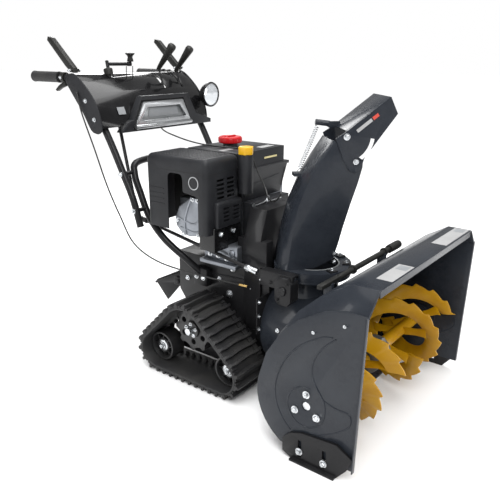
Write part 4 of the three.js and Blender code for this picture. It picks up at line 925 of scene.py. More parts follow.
# ------------------------------------------------------------------ tracks
@dataclass
class Tracks:
    """The rubber belts, their wheels and frames."""

    inside: float = 120.0
    width: float = 160.0
    belt: float = 9.0
    lug: float = 16.0
    pitch: float = 30.0
    idler: float = 53.0
    sprocket: float = 81.0
    gap: float = 2.0
    front_y: float = 555.0
    rear_y: float = 855.0
    drive_y: float = 712.0
    drive_z: float = 184.0

    @property
    def idler_z(self) -> float:
        """Height of the idlers' axes."""
        return self.idler + self.gap + self.belt + self.lug

    def loop(self, step: float) -> list[tuple[float, float, float, float]]:
        """Evenly spaced places on the inside of the belt.

        Args:
            step: about how far apart they are, in mm.

        Returns:
            (y, z, normal y, normal z) for each place.
        """
        reach = self.idler + self.gap
        wheels = [(self.front_y, self.idler_z, reach), (self.rear_y, self.idler_z, reach),
                  (self.drive_y, self.drive_z, self.sprocket + self.gap)]
        corners = []
        for i, (y, z, radius) in enumerate(wheels):
            other = wheels[(i + 1) % 3]
            dy, dz = other[0] - y, other[1] - z
            corners.append(math.atan2(dz, dy) - math.acos((radius - other[2]) / math.hypot(dy, dz)))
        dense = []
        for i, (y, z, radius) in enumerate(wheels):
            start, end = corners[i - 1], corners[i]
            while start > end:
                start -= 2 * math.pi
            for k in range(41):
                t = start + (end - start) * k / 40
                dense.append((y + radius * math.cos(t), z + radius * math.sin(t), math.cos(t),
                              math.sin(t)))
        spans = [math.dist(a[:2], b[:2]) for a, b in zip(dense, dense[1:] + dense[:1])]
        total = sum(spans)
        count = round(total / step)
        places, i, done = [], 0, 0.0
        for k in range(count):
            want = total * k / count
            while done + spans[i] < want:
                done += spans[i]
                i += 1
            a, b = dense[i], dense[(i + 1) % len(dense)]
            share = (want - done) / spans[i]
            places.append(tuple(p + (q - p) * share for p, q in zip(a, b)))
        return places

    def build(self) -> None:
        """Make both tracks."""
        for side, s in SIDES:
            self.rubber(side, s)
            self.wheels(side, s)
        add_piece("track_beams", refined("track_frame", 1.0), BLACK_PAINT, "track_unit",
                  ["track_frame"])
        add_piece("track_axle", refined("drive_axle"), ZINC, "drive_wheels", ["drive_axle"])

    def lug_pattern(self) -> bpy.types.Mesh:
        """One tread lug, its Z out of the belt and X across it."""
        form = Form(Matrix.Scale(MM, 4))
        w = self.width / 2
        rings = []
        for x, lean, high in ((-w, 1.5, 0.9), (-w + 4, 0, 1.0), (-w + 26, -1.5, 1.0),
                              (-16, 1.5, 1.0), (16, 1.5, 1.0), (w - 26, -1.5, 1.0),
                              (w - 4, 0, 1.0), (w, 1.5, 0.9)):
            top = self.lug * high
            rings.append([(x, lean - 7.0, -1), (x, lean + 7.0, -1), (x, lean + 4.6, top - 1),
                          (x, lean + 3.6, top), (x, lean - 3.6, top), (x, lean - 4.6, top - 1)])
        form.loft(rings)
        for x in (-w + 12, w - 12):
            form.block((x - 10, x + 10), (-15, 15), (-1, 4.5))
        return form.mesh("lug")

    def rubber(self, side: str, s: int) -> None:
        """One belt with its tread lugs outside and drive nubs inside."""
        centre = s * (self.inside + self.width / 2)
        x0, x1 = centre - self.width / 2, centre + self.width / 2
        form = Form()
        rings = []
        for y, z, ny, nz in self.loop(9):
            out = lambda h, x: (x, y + ny * h, z + nz * h)
            rings.append([out(0.4, x0 + 2), out(0.4, x1 - 2), out(2, x1), out(self.belt - 2, x1),
                          out(self.belt, x1 - 2), out(self.belt, x0 + 2), out(self.belt - 2, x0),
                          out(2, x0)])
        form.loft(rings, closed=True)
        add_piece(f"track_belt_{side}", form.mesh("belt"), RUBBER, "track_unit",
                  [f"track_{side}"], 40)
        lugs = [((centre, y + ny * self.belt, z + nz * self.belt), (0, ny, nz), (1, 0, 0))
                for y, z, ny, nz in self.loop(self.pitch)]
        add_piece(f"track_lugs_{side}", COPIES.place(self.lug_pattern(), lugs, RUBBER), RUBBER,
                  "track_unit", (), 30)
        nub = Form(Matrix.Scale(MM, 4))
        nub.loft([[(-7, -5, 1), (7, -5, 1), (7, 5, 1), (-7, 5, 1)],
                  [(-4, -3, -14), (4, -3, -14), (4, 3, -14), (-4, 3, -14)]])
        shift = s * -46
        nubs = [((centre + shift, y, z), (0, ny, nz), (1, 0, 0))
                for y, z, ny, nz in self.loop(self.pitch)]
        add_piece(f"track_nubs_{side}", COPIES.place(nub.mesh("nub"), nubs, RUBBER), RUBBER,
                  "track_unit")

    def wheels(self, side: str, s: int) -> None:
        """The two idlers and the sprocket of one track."""
        centre = s * (self.inside + self.width / 2 + 8)
        for place, y in (("front", self.front_y), ("rear", self.rear_y)):
            body = f"idler_{place[0]}{side[0]}"
            form = Form()
            r = self.idler - 0.5
            form.lathe([(13, -24), (24, -24), (27, -20), (29, -12), (44, -12), (46, -30), (r - 1, -30),
                        (r, -29), (r, 29), (r - 1, 30), (46, 30), (43, 6), (29, 4), (27, 22),
                        (24, 24), (13, 24)], (centre, y, self.idler_z), (s, 0, 0), 48)
            add_piece(f"idler_{place}_{side}_wheel", rounded(form.mesh("wheel"), 0.8), WHEEL, body,
                      [f"idler_{place}_{side}"], 30)
            ribs = Form(Matrix.Scale(MM, 4))
            ribs.loft([[(-2, 28, 0), (2, 28, 0), (2, 45, 0), (-2, 45, 0)],
                       [(-1.6, 28, 17), (1.6, 28, 17), (1.6, 45, 12), (-1.6, 45, 12)]])
            spokes = [((centre + s * 5, y, self.idler_z), (s, 0, 0),
                       (0, math.cos(t), math.sin(t)))
                      for t in (2 * math.pi * i / 8 for i in range(8))]
            add_piece(f"idler_{place}_{side}_ribs", COPIES.place(ribs.mesh("rib"), spokes, WHEEL),
                      WHEEL, body)
            ring = Form()
            ring.lathe([(14, 20), (22, 20), (22, 25.5), (20, 26.5), (14, 26.5)],
                       (centre, y, self.idler_z), (s, 0, 0), 40)
            add_piece(f"idler_{place}_{side}_bearing", ring.mesh("bearing"), ZINC, body)
            add_bolts(f"idler_{place}_{side}_bolt",
                      [((centre + s * 27, y, self.idler_z), (s, 0, 0))], body, 8.5)
        self.drive(side, s, centre)

    def drive(self, side: str, s: int, centre: float) -> None:
        """The drive sprocket of one track."""
        rim = []
        for i in range(9):
            for share, radius in ((-0.22, self.sprocket), (0.02, self.sprocket),
                                  (0.13, self.sprocket - 12), (0.57, self.sprocket - 12)):
                t = (i + share) / 9 * 2 * math.pi
                rim.append((self.drive_y + radius * math.cos(t), self.drive_z + radius * math.sin(t)))
        form = Form()
        form.prism(rim, centre - 19, centre + 19, "x")
        form.lathe([(13, -30), (29, -30), (30, -29), (30, 29), (29, 30), (13, 30)],
                   (centre, self.drive_y, self.drive_z), (s, 0, 0), 40)
        holes = Form()
        for i in range(6):
            t = math.radians(60 * i + 30)
            y, z = self.drive_y + 48 * math.cos(t), self.drive_z + 48 * math.sin(t)
            holes.rod((centre - 40, y, z), (centre + 40, y, z), 10)
        mesh = cut(form.mesh("sprocket"), holes.mesh("holes"))
        add_piece(f"sprocket_{side}_wheel", rounded(mesh, 1.2), WHEEL, "drive_wheels",
                  [f"sprocket_{side}"])
        face = centre + s * 30.5
        bolts = [((face, self.drive_y + 21 * math.cos(t), self.drive_z + 21 * math.sin(t)),
                  (s, 0, 0)) for t in (math.radians(72 * i + 18) for i in range(5))]
        add_bolts(f"sprocket_{side}_bolts", bolts, "drive_wheels", 4.5)


# ------------------------------------------------------------------ engine
@dataclass
class Engine:
    """The engine with its covers, tank, caps, starter and linkage, and the belt cover."""

    cover_x: tuple = (-226.0, -57.0)
    cover_y: tuple = (643.0, 908.0)
    cover_z: tuple = (520.0, 762.0)
    corner: float = 20.0
    fuel_cap: tuple = (72.0, 789.0)

    def build(self) -> None:
        """Make every piece of the engine."""
        add_piece("engine_castings", refined("engine_block", 2.5), BRIGHT_ALLOY, "machine",
                  ["engine_block"])
        add_piece("engine_crankshaft", refined("crankshaft"), ZINC, "crankshaft_unit",
                  ["crankshaft"])
        add_piece("belt_loop", refined("drive_belt", 0), RUBBER, "machine", ["drive_belt"])
        add_piece("belt_guard", refined("belt_cover", 3.0), BLACK_PAINT, "machine", ["belt_cover"])
        self.cover()
        self.rocker()
        self.tank()
        self.caps()
        self.starter()
        self.linkage()

    def rounded_box(self, form: Form, x: Point, y: Point, z: Point, r: float) -> None:
        """A block with its upright edges and its top rim rounded."""
        def ring(shrink: float, height: float) -> list[tuple]:
            """One level of the block, pulled in by shrink."""
            rr = r
            points = []
            for cx, cy, start in ((x[1] - rr, y[1] - rr, 0), (x[0] + rr, y[1] - rr, 90),
                                  (x[0] + rr, y[0] + rr, 180), (x[1] - rr, y[0] + rr, 270)):
                points += [(px, py, height) for px, py in
                           arc((cx, cy), max(0.5, rr - shrink), start, start + 90, 6)]
            return points
        levels = [(0, z[0]), (0, z[1] - r)]
        levels += [(r * (1 - math.cos(math.radians(a))), z[1] - r + r * math.sin(math.radians(a)))
                   for a in (22, 45, 67, 90)]
        form.loft([ring(shrink, height) for shrink, height in levels])

    def cover(self) -> None:
        """The louvred cover with its doorway over the cylinder head, and near-black plates inside it as
        painted shade.
        """
        x, y, z = self.cover_x, self.cover_y, self.cover_z
        outer, inner = Form(), Form()
        self.rounded_box(outer, x, y, z, self.corner)
        shell = outer.mesh("shell")
        self.rounded_box(inner, (x[0] + 4, x[1] + 30), (y[0] + 4, y[1] - 4), (z[0] - 30, z[1] - 4),
                         self.corner - 3)
        shell = cut(shell, inner.mesh("inside"))
        door = Form()
        door.prism([(678, 450), (678, 638), (690, 645), (730, 650)] + arc((734, 658), 8, -60, 0, 4) +
                   arc((759, 692), -17, 0, -90, 6)[::1] + arc((790, 692), 17, 90, 0, 6) +
                   [(812, 450)], x[0] - 20, x[0] + 10, "x")
        shell = cut(shell, door.mesh("door"))
        slots = self.slots(17.5, 4.0, [-155.5, -105.5], [635 + row * 14 for row in range(5)], y[0])
        add_piece("engine_shroud", rounded(cut(shell, slots), 1.0, 40), COVER, "machine",
                  ["engine_cover"])
        box = Form()
        self.rounded_box(box, (-189, -62), (y[0] - 15, y[0] + 12), (540, 624), 9)
        low = self.slots(15, 3.6, [-144, -94], [561 + row * 13 for row in range(4)], y[0] - 15)
        add_piece("engine_air_box", rounded(cut(box.mesh("box"), low), 0.8, 40), COVER, "machine")
        skirt = Form()
        self.rounded_box(skirt, (-200, -62), (y[0] - 9, y[0] + 57), (464, 543), 5)
        add_piece("engine_skirt", rounded(skirt.mesh("skirt"), 1.0, 50), GLOSS, "machine")
        add_bolts("engine_skirt_bolts", [((bx, y[0] - 9.4, 518), (0, -1, 0)) for bx in (-168, -106)],
                  "machine", 7.0)
        trim = Form()
        trim.lathe([(18, -0.5), (21, -0.5), (21, 1.4), (18, 1.4)], (x[0], 694, 686), (-1, 0, 0), 36)
        add_piece("shroud_ring", trim.mesh("ring"), BADGE, "machine")
        ribs = Form()
        for k in range(4):
            ribs.block((x[0] - 1.2, x[0] + 2), (826, 894), (600 + k * 17, 603 + k * 17))
        seam = Form()
        seam.block((x[0] - 0.5, x[0] + 2), (y[0] + 14, y[1] - 14), (716, 717.4))
        seam.block((x[0] + 14, x[1] - 4), (y[0] - 0.5, y[0] + 2), (716, 717.4))
        add_piece("shroud_ribs", ribs.mesh("ribs"), COVER, "machine")
        # Near-black plates inside the cover are painted shade, seen through the louvres and the doorway.
        shade_plates = Form()
        shade_plates.block((-98, -95), (y[0] + 6, y[1] - 6), (z[0] + 22, z[1] - 6))
        shade_plates.block((x[0] + 6, -95), (y[0] + 26, y[0] + 29), (z[0] + 100, z[1] - 6))
        add_piece("shroud_baffle", shade_plates.mesh("shade_plates"), DARK, "machine")
        add_piece("shroud_seam", seam.mesh("seam"), DARK, "machine")
        pad = Form(Matrix.Scale(MM, 4))
        pad.loft([[(u, v, 0) for u, v in ((-4.6, -4.6), (4.6, -4.6), (4.6, 4.6), (-4.6, 4.6))],
                  [(u, v, 1.1) for u, v in ((-3.4, -3.4), (3.4, -3.4), (3.4, 3.4), (-3.4, 3.4))]])
        grid = [((-204 + i * 12.4, 674 + j * 12.4, z[1] - 0.2), (0, 0, 1), (1, 0.35, 0))
                for i in range(11) for j in range(17)]
        add_piece("shroud_top_grip", COPIES.place(pad.mesh("pad"), grid, COVER), COVER, "machine")

    def slots(self, half: float, rise: float, xs: list, zs: list, y: float) -> bpy.types.Mesh:
        """Slot-shaped cutters in rows and columns on a face that looks forward."""
        form = Form(Matrix.Scale(MM, 4))
        form.loft([[(u, v, w) for u, v in ((-half, -rise), (half, -rise), (half, rise),
                                           (-half, rise))] for w in (-8, 9)])
        places = [((sx, y, sz), (0, -1, 0), (1, 0, 0)) for sx in xs for sz in zs]
        return COPIES.place(form.mesh("slot"), places, COVER)

    def rocker(self) -> None:
        """The cast rocker cover behind the doorway, with its raised ribs and bolts."""
        add_piece("rocker_casting", refined("rocker_cover", 7.0), BRIGHT_ALLOY, "machine",
                  ["rocker_cover"])
        form = Form()
        for line, r in (([(716, 637), (736, 598), (750, 550), (744, 508)], 4.0),
                        ([(686, 566), (716, 548), (786, 562)], 3.2),
                        ([(686, 530), (712, 522), (770, 530)], 2.6)):
            form.tube(smooth_line([(-212, y, z) for y, z in line], 6), r, 12)
        add_piece("rocker_ribs", form.mesh("ribs"), BRIGHT_ALLOY, "machine")
        corners = ((691, 628), (712, 629), (782, 552), (692, 514), (756, 508))
        add_bolts("rocker_bolts", [((-213, y, z), (-1, 0, 0)) for y, z in corners], "machine", 4.6)

    def tank(self) -> None:
        """The fuel tank, its seam flange, its blank label strip, painted shade for the shroud's slots and
        the side trim.
        """
        add_piece("tank_shell", refined("fuel_tank", 5.0, 40), COVER, "machine", ["fuel_tank"])
        form = Form()
        form.block((86, 160), (648.8, 650.2), (727, 733))
        add_piece("tank_label", form.mesh("strip"), LABEL_PALE, "machine")
        top = Form()
        top.block((104, 176), (672, 700), (759.6, 760.5))
        top.block((-36, 18), (730, 752), (759.6, 760.5))
        add_piece("tank_top_label", top.mesh("label"), LABEL, "machine")
        # Thin near-black strips on the shroud's face are painted shade standing in for its slots.
        side = Form()
        for k in range(5):
            side.block((-38 + k * 2, -18 - k), (638.4, 641), (644 + k * 9, 649 + k * 9))
        for k in range(2):
            side.block((-38, 6), (638.4, 641), (618 + k * 12, 624 + k * 12))
        add_piece("tank_shroud_slots", side.mesh("slots"), DARK, "machine")
        relief = Form()
        relief.tube(smooth_line([(-14, 639.6, 690), (-6, 639.6, 690), (8, 639.6, 662),
                                 (20, 639.6, 654), (160, 639.6, 666)], 5), 1.3, 8)
        relief.tube([(176, 639.6, 622), (198, 639.6, 684)], 1.3, 8)
        add_piece("tank_shroud_relief", relief.mesh("relief"), COVER, "machine")
        case = Form()
        case.prism([(-46, 470), (-46, 600.9), (168, 600.9), (150, 540), (124, 470)], 598, 641, "y")
        add_piece("blower_case", rounded(case.mesh("case"), 4.0), COVER, "machine")

    def caps(self) -> None:
        """The ribbed fuel cap and the hexagonal oil cap."""
        form = Form()
        x, y = self.fuel_cap
        centre = (x, y, 772.4)
        form.lathe([(0, 0), (39, 0), (41, 2), (41, 17), (38.5, 21), (30, 22), (29, 20), (0, 20)],
                   centre, (0, 0, 1), 64)
        form.loft([[(x + u, y + v, h) for u, v in ((-26, -5), (26, -5), (26, 5), (-26, 5))]
                   for h in (790, 797)])
        add_piece("fuel_filler_cap", rounded(form.mesh("cap"), 1.4, 40), RED, "fuel_cap_body",
                  ["fuel_cap"])
        rib = Form(Matrix.Scale(MM, 4))
        rib.loft([[(-1.8, -7, 0), (1.8, -7, 0), (1.8, 7, 0), (-1.8, 7, 0)],
                  [(-1, -6.4, 1.4), (1, -6.4, 1.4), (1, 6.4, 1.4), (-1, 6.4, 1.4)]])
        ring = [((x + 40.6 * math.cos(t), y + 40.6 * math.sin(t), 783),
                 (math.cos(t), math.sin(t), 0), (-math.sin(t), math.cos(t), 0))
                for t in (2 * math.pi * i / 30 for i in range(30))]
        add_piece("fuel_cap_ribs", COPIES.place(rib.mesh("rib"), ring, RED), RED, "fuel_cap_body")
        add_piece("oil_filler_cap", refined("oil_cap", 2.4, 25), YELLOW, "oil_cap_body",
                  ["oil_cap"])

    def starter(self) -> None:
        """The recoil starter with its slots drawn as painted shade, its handle and the rope that follows it.
        """
        add_piece("starter_housing", refined("recoil_starter", 3.0), BLACK_PAINT, "machine",
                  ["recoil_starter"])
        # Thin near-black plates on the housing's back face are painted shade standing in for its slots.
        slot_mark = Form(Matrix.Scale(MM, 4))
        slot_mark.loft([[(u, v, w) for u, v in ((-3, -17), (3, -17), (3, 17), (-3, 17))]
                  for w in (-0.5, 1.6)])
        ring = []
        for i in range(18):
            t = math.radians(20 * i)
            place = (58 * math.cos(t), 890, 545 + 58 * math.sin(t))
            if place[0] > -46 and place[2] < 650:
                ring.append((place, (0, 1, 0), (-math.sin(t), 0, math.cos(t))))
        add_piece("starter_fins", COPIES.place(slot_mark.mesh("slot_mark"), ring, DARK), DARK, "machine")
        add_piece("starter_grip", refined("recoil_handle", 2.2, 40), LEVER, "pull_handle",
                  ["recoil_handle"])
        form = Form()
        form.tube([(64, 886 + 0.4 * i, 605) for i in range(21)], 2.2, 10)
        rope = add_piece("starter_rope", form.mesh("rope"), SHEATH, "machine")
        rope.parent = None
        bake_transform(rope)

    def linkage(self) -> None:
        """The governor rod with its spring, the base bolts and the drain boss."""
        form = Form()
        line = smooth_line([(-58, 582, 600), (-30, 582, 601), (0, 582, 604), (10, 582, 612),
                            (14, 582, 602), (60, 582, 600), (96, 584, 600)], 6)
        form.tube(line, 1.7, 10)
        form.lathe([(3, -2), (7, -2), (7, 2), (3, 2)], (-62, 582, 601), (0, -1, 0), 24)
        add_piece("governor_rod", form.mesh("rod"), ZINC, "machine")
        a, b = spot((8, 580, 598)), spot((14, 580, 622))
        add_piece("governor_spring", SPRINGS.wind(a, b, 9, 4.0, 0.8, ZINC), ZINC, "machine")
        boss = Form()
        boss.lathe([(8, -2), (13, -2), (13, 5), (11, 6), (8, 6)], (-132, 618, 446), (-1, 0, 0), 32)
        boss.prism([(596, 413), (596, 470), (640, 474), (712, 486), (738, 470), (738, 413)], -132,
                   -60, "x")
        add_piece("engine_foot", rounded(boss.mesh("foot"), 3.0), BRIGHT_ALLOY, "machine")
        add_bolts("engine_foot_bolts", [((-132.4, y, z), (-1, 0, 0)) for y, z in (
            (606, 424), (640, 424), (676, 428), (712, 428), (716, 458))], "machine", 6.0)
        guard = [((-86, 519, z), (0, -1, 0)) for z in (430,)] + [((86, 519, 430), (0, -1, 0))]
        add_bolts("belt_guard_bolts", guard, "machine", 4.0, BLACK_PAINT)


# ------------------------------------------------------------------ chassis and frame
@dataclass
class Frame:
    """The chassis, transmission, pedal and the lower handlebar frame."""

    half_width: float = 100.0

    def build(self) -> None:
        """Make the chassis and what bolts to it."""
        add_piece("chassis_tub", refined("chassis", 1.6), BLACK_PAINT, "machine", ["chassis"])
        add_piece("drive_case", refined("transmission", 4.0), CASTING, "machine",
                  ["transmission"])
        bolts = [((s * 100.3, y, z), (s, 0, 0)) for s in (-1, 1)
                 for y, z in ((520, 372), (560, 330), (640, 378), (850, 372), (850, 300), (700, 330))]
        add_bolts("chassis_bolts", bolts, "machine", 6.0)
        self.stays()
        self.hoop()
        self.pedal()

    def stays(self) -> None:
        """Pressed ribs on the chassis sides and the bolted front flange."""
        form = Form()
        for s in (-1, 1):
            form.tube(smooth_line([(s * 100, y, z) for y, z in
                                   ((540, 352), (640, 350), (740, 344), (840, 350))], 6), 3, 10)
        add_piece("chassis_ribs", form.mesh("ribs"), BLACK_PAINT, "machine")
        add_bolts("flange_bolts", [((s * 156, 489, z), (0, -1, 0)) for s in (-1, 1)
                                   for z in (222, 268, 316)], "machine", 5.0)

    def hoop(self) -> None:
        """The lower frame, from one side of the chassis over the top to the other."""
        half = [(116, 766, 340), (150, 804, 392), (182, 876, 460), (190, 938, 530), (190, 978, 610),
                (188, 1004, 672), (158, 1018, 710)]
        line = half + [(0, 1024, 714)] + [(-x, y, z) for x, y, z in reversed(half)]
        form = Form()
        form.tube(smooth_line(line, 8), 12, 20)
        for s in (-1, 1):
            form.block(sorted((s * 100.4, s * 128)), (735, 795), (300, 362))
            for y, z in ((1007, 680), (952, 560)):
                form.rod((s * 190, y, z), (s * 223.6, y, z), 7)
        add_piece("lower_hoop", rounded(form.mesh("hoop"), 1.5, 50), BLACK_PAINT, "machine",
                  ["lower_frame"])
        add_bolts("hoop_bolts", [((s * 248.5, y, z), (s, 0, 0)) for s in (-1, 1)
                                 for y, z in ((1007, 680), (952, 560))]
                  + [((s * 128.4, y, 330), (s, 0, 0)) for s in (-1, 1) for y in (750, 780)],
                  "machine", 6.0)

    def pedal(self) -> None:
        """The foot pedal with a serrated tread."""
        add_piece("pedal_plate", refined("foot_pedal", 2.0), BLACK_PAINT, "pedal", ["foot_pedal"])
        tooth = Form(Matrix.Scale(MM, 4))
        tooth.loft([[(-72, -3.2, -0.5), (72, -3.2, -0.5), (72, 3.2, -0.5), (-72, 3.2, -0.5)],
                    [(-72, -0.8, 4.5), (72, -0.8, 4.5), (72, 0.8, 4.5), (-72, 0.8, 4.5)]])
        a, b = Vector((0, 906, 300)), Vector((0, 1046, 234))
        out = Vector((0, -(b - a).z, (b - a).y)).normalized()
        add_bolts("track_pivot_bolt", [((s * 100.4, 655, 286), (s, 0, 0)) for s in (-1, 1)],
                  "machine", 10.0)
        rows = [(a.lerp(b, 0.05 + 0.082 * i), out, (1, 0, 0)) for i in range(12)]
        add_piece("pedal_teeth", COPIES.place(tooth.mesh("tooth"), rows, BLACK_PAINT),
                  BLACK_PAINT, "pedal")


# ------------------------------------------------------------------ handlebars and panel
@dataclass
class Controls:
    """Handlebars, grips, levers, the crank line, the control cowl and the lamp."""

    bar_x: float = 236.0
    grip_x: float = 253.0
    grip_z: float = 990.0
    grip_back: float = 1436.0
    lamp_at: tuple = (256.0, 1042.0, 917.0)
    panel_half: float = 262.0
    rod_rear: tuple = (-165.0, 1027.0, 512.0)
    rod_front: tuple = (-140.0, 500.0, 408.0)
    crank_top: tuple = (-118.0, 1195.0, 1033.0)
    reach: tuple = (84.0, -28.0, 0.0)

    def build(self) -> None:
        """Make every control."""
        for side, s in SIDES:
            self.bar(side, s)
        self.crank()
        self.cowl()
        self.surround()
        self.levers()
        self.lamp()
        add_piece("snow_tool", self.tool(), LEVER, "tool", ["clean_out_tool"])

    def bar(self, side: str, s: int) -> None:
        """One handlebar with its grip, clutch lever and steering trigger."""
        x, gx, z = self.bar_x, self.grip_x, self.grip_z
        line = [(s * x, 935, 505), (s * x, 966, 600), (s * x, 1008, 682), (s * x, 1060, 778),
                (s * x, 1125, 880), (s * (x + 4), 1180, 952), (s * (gx - 6), 1212, 982),
                (s * gx, 1255, z), (s * gx, 1300, z), (s * gx, self.grip_back - 8, z)]
        form = Form()
        form.tube(smooth_line(line, 8), 12, 22)
        add_piece(f"handlebar_{side}_tube", rounded(form.mesh("bar"), 1.0, 60), BLACK_PAINT,
                  "machine", [f"handlebar_{side}"], 50)
        grip = Form()
        profile = [(12.6, 0), (18.5, 0), (19.2, 2), (19.2, 6)]
        for k in range(16):
            at = 9 + k * 8.2
            profile += [(17.4, at), (17.4, at + 4.4), (18.2, at + 5.4), (18.2, at + 7.2)]
        profile += [(18.6, 144), (19.4, 147), (17, 150), (0.02, 150), (0.02, 143), (12.6, 143)]
        grip.lathe(profile, (s * gx, self.grip_back - 150, z), (0, 1, 0), 32)
        add_piece(f"grip_{side}_rubber", grip.mesh("grip"), RUBBER, "machine", [f"grip_{side}"], 40)
        add_piece(f"clutch_{side}_paddle", refined(f"clutch_lever_{side}", 3.2, 30), LEVER,
                  f"clutch_{side[0]}", [f"clutch_lever_{side}"])
        add_piece(f"trigger_{side}_blade", refined(f"steering_trigger_{side}", 2.0, 30), LEVER,
                  f"trigger_{side[0]}", [f"steering_trigger_{side}"])
        clamp = Form()
        clamp.lathe([(12.4, -9), (16.5, -9), (17.5, -7), (17.5, 7), (16.5, 9), (12.4, 9)],
                    (s * gx, 1262, z), (0, 1, 0), 32)
        clamp.block((s * gx - 4, s * gx + 4), (1250, 1266), (974, 980))
        add_piece(f"bar_{side}_clamp", rounded(clamp.mesh("clamp"), 1.0), LEVER, "machine")
        add_bolts(f"bar_{side}_bolts", [((s * (gx + 17.4), 1262, z), (s, 0, 0)),
                                        ((s * (gx + 20.5), 1206, 1014), (s, 0, 0)),
                                        ((s * (gx - 20.5), 1206, 1014), (-s, 0, 0))], "machine", 4.0)

    def crank(self) -> None:
        """The chute crank, its knob and the rod down to the worm, with the rod's sleeve and joint boot."""
        top = Vector(self.crank_top)
        rear, front = Vector(self.rod_rear), Vector(self.rod_front)
        form = Form()
        start = rear.lerp(top, 0.02)
        reach = Vector(self.reach)
        end = top + reach
        arm = [start, rear.lerp(top, 0.5), top - Vector((1, 5, 12)), top + reach * 0.03,
               top + reach * 0.16, top + reach * 0.95]
        form.tube(smooth_line(arm, 8), 6, 16)
        form.rod(end + Vector((0, 0, -4)), end + Vector((0, 0, 36)), 4, 4, 16)
        form.rod(top + reach * 0.87, top + reach * 1.03, 7.5)
        add_piece("crank_bar", rounded(form.mesh("crank"), 0.8, 50), BLACK_PAINT, "crank",
                  ["crank_handle"], 50)
        knob = Form()
        knob.lathe([(5.2, 8), (10, 8), (11.6, 10), (10.4, 16), (8.6, 22), (10, 28), (15.4, 33),
                    (17, 35), (16.6, 37.2), (12, 38.2), (5.2, 38.2)],
                   end, (0, 0, 1), 40)
        add_piece("crank_knob_grip", knob.mesh("knob"), LEVER, "crank_grip", ["crank_knob"], 60)
        line = lambda share: rear.lerp(front, share)
        rod = Form()
        rod.rod(line(0.03), line(0.97), 6)
        rod.rod(line(0.03), line(0.09), 9)
        add_piece("chute_rod_bar", rounded(rod.mesh("rod"), 1.0), BLACK_PAINT, "chute_rod_unit")
        sleeve = Form()
        sleeve.rod(line(0.90), line(0.985), 10.5)
        sleeve.rod(line(0.91), line(0.93), 12.5, sides=6)
        add_piece("chute_rod_sleeve", rounded(sleeve.mesh("sleeve"), 1.0), ZINC, "chute_rod_unit",
                  ["chute_rod"])
        joint = Form()
        joint.lathe([(0, -13), (8, -12), (11, -6), (12, 0), (11, 6), (8, 12), (0, 13)],
                    rear.lerp(top, 0.008), (top - rear).normalized(), 24)
        add_piece("rod_joint_boot", joint.mesh("boot"), RUBBER, "chute_rod_unit", (), 60)

    def cowl(self) -> None:
        """The glossy cowl with its grey cheeks, bushes and pins."""
        add_piece("cowl_shell", refined("control_panel", 2.4, 40), GLOSS, "machine",
                  ["control_panel"], 40)
        outline = [(1066, 828), (1071, 865), (1089, 907), (1116, 944), (1152, 977), (1186, 1000),
                   (1214, 1004), (1246, 984), (1164, 879), (1126, 822), (1100, 810), (1080, 812)]
        for side, s in SIDES:
            form = Form()
            smooth = [(p.x, p.y) for p in smooth_line([(y, z, 0) for y, z in outline], 4, True)]
            form.prism(smooth, s * (self.panel_half - 1), s * (self.panel_half + 3.4), "x")
            add_piece(f"cowl_cheek_{side}", rounded(form.mesh("cheek"), 1.2, 50), COVER, "machine")
            add_bolts(f"cowl_{side}_bolts", [((s * (self.panel_half + 3.4), y, z), (s, 0, 0))
                                             for y, z in ((1142, 917), (1102, 857))], "machine", 5.5)
        bush = Form()
        bush.lathe([(7.6, -14), (16, -14), (16, 8), (14, 10), (7.6, 10)], (-119.6, 1189, 1008),
                   (0.086, 0.306, 0.948), 28)
        add_piece("crank_bush", rounded(bush.mesh("bush"), 1.2), LEVER, "machine")
        pins = Form()
        for x in (-63, -33):
            pins.rod((x, 1160, 976), (x + 1, 1158, 1026), 1.8, 1.4, 12)
        add_piece("cowl_pins", pins.mesh("pins"), LEVER, "machine")

    def surround(self) -> None:
        """The grey surround and the blank silver badge frame in its middle."""
        def frame(half_low: float, half_high: float, low: float, high: float, front: float,
                  back: float) -> Form:
            """A trapezoid plate facing forward."""
            form = Form()
            form.prism([(-half_low, low), (-half_high, high), (half_high, high), (half_low, low)],
                       front, back, "y")
            return form
        plate = Form()
        plate.prism([(-201, 811), (-173, 842), (-143, 850), (-99, 928), (132, 928), (174, 853),
                     (259, 825), (259, 811)], 1042, 1070, "y")
        cavity = frame(150, 106, 818, 914, 1020, 1060).mesh("cavity")
        add_piece("panel_surround", rounded(cut(plate.mesh("plate"), cavity), 2.6, 40), COVER,
                  "machine")
        ring = frame(142, 99, 824, 909, 1036, 1056).mesh("ring")
        inner = frame(114, 81, 848, 890, 1020, 1070).mesh("inner")
        add_piece("badge_frame", rounded(cut(ring, inner), 2.6, 40), BADGE, "machine")
        add_piece("badge_field", rounded(frame(115, 82, 846, 891, 1045, 1056).mesh("field"), 1.0),
                  SURROUND, "machine")
        blank = Form()
        blank.prism([(-74, 856), (-68, 884), (72, 884), (78, 856)], 1043, 1046, "y")
        add_piece("badge_blank", rounded(blank.mesh("blank"), 0.6), LABEL_GREY, "machine")
        bar = Form()
        bar.rod((-140, 1037, 826), (140, 1037, 826), 8, sides=24)
        bar.rod((-104, 1035, 844), (104, 1035, 844), 2.2, sides=12)
        add_piece("badge_bar", rounded(bar.mesh("bar"), 1.5), BADGE, "machine")
        label = Form()
        label.loft([[(-186, 1069 - k, 870), (-154, 1069 - k, 870), (-154, 1080 - k, 894),
                     (-186, 1080 - k, 894)] for k in (0, 1.5)])
        add_piece("panel_label", label.mesh("label"), LABEL_GREY, "machine")

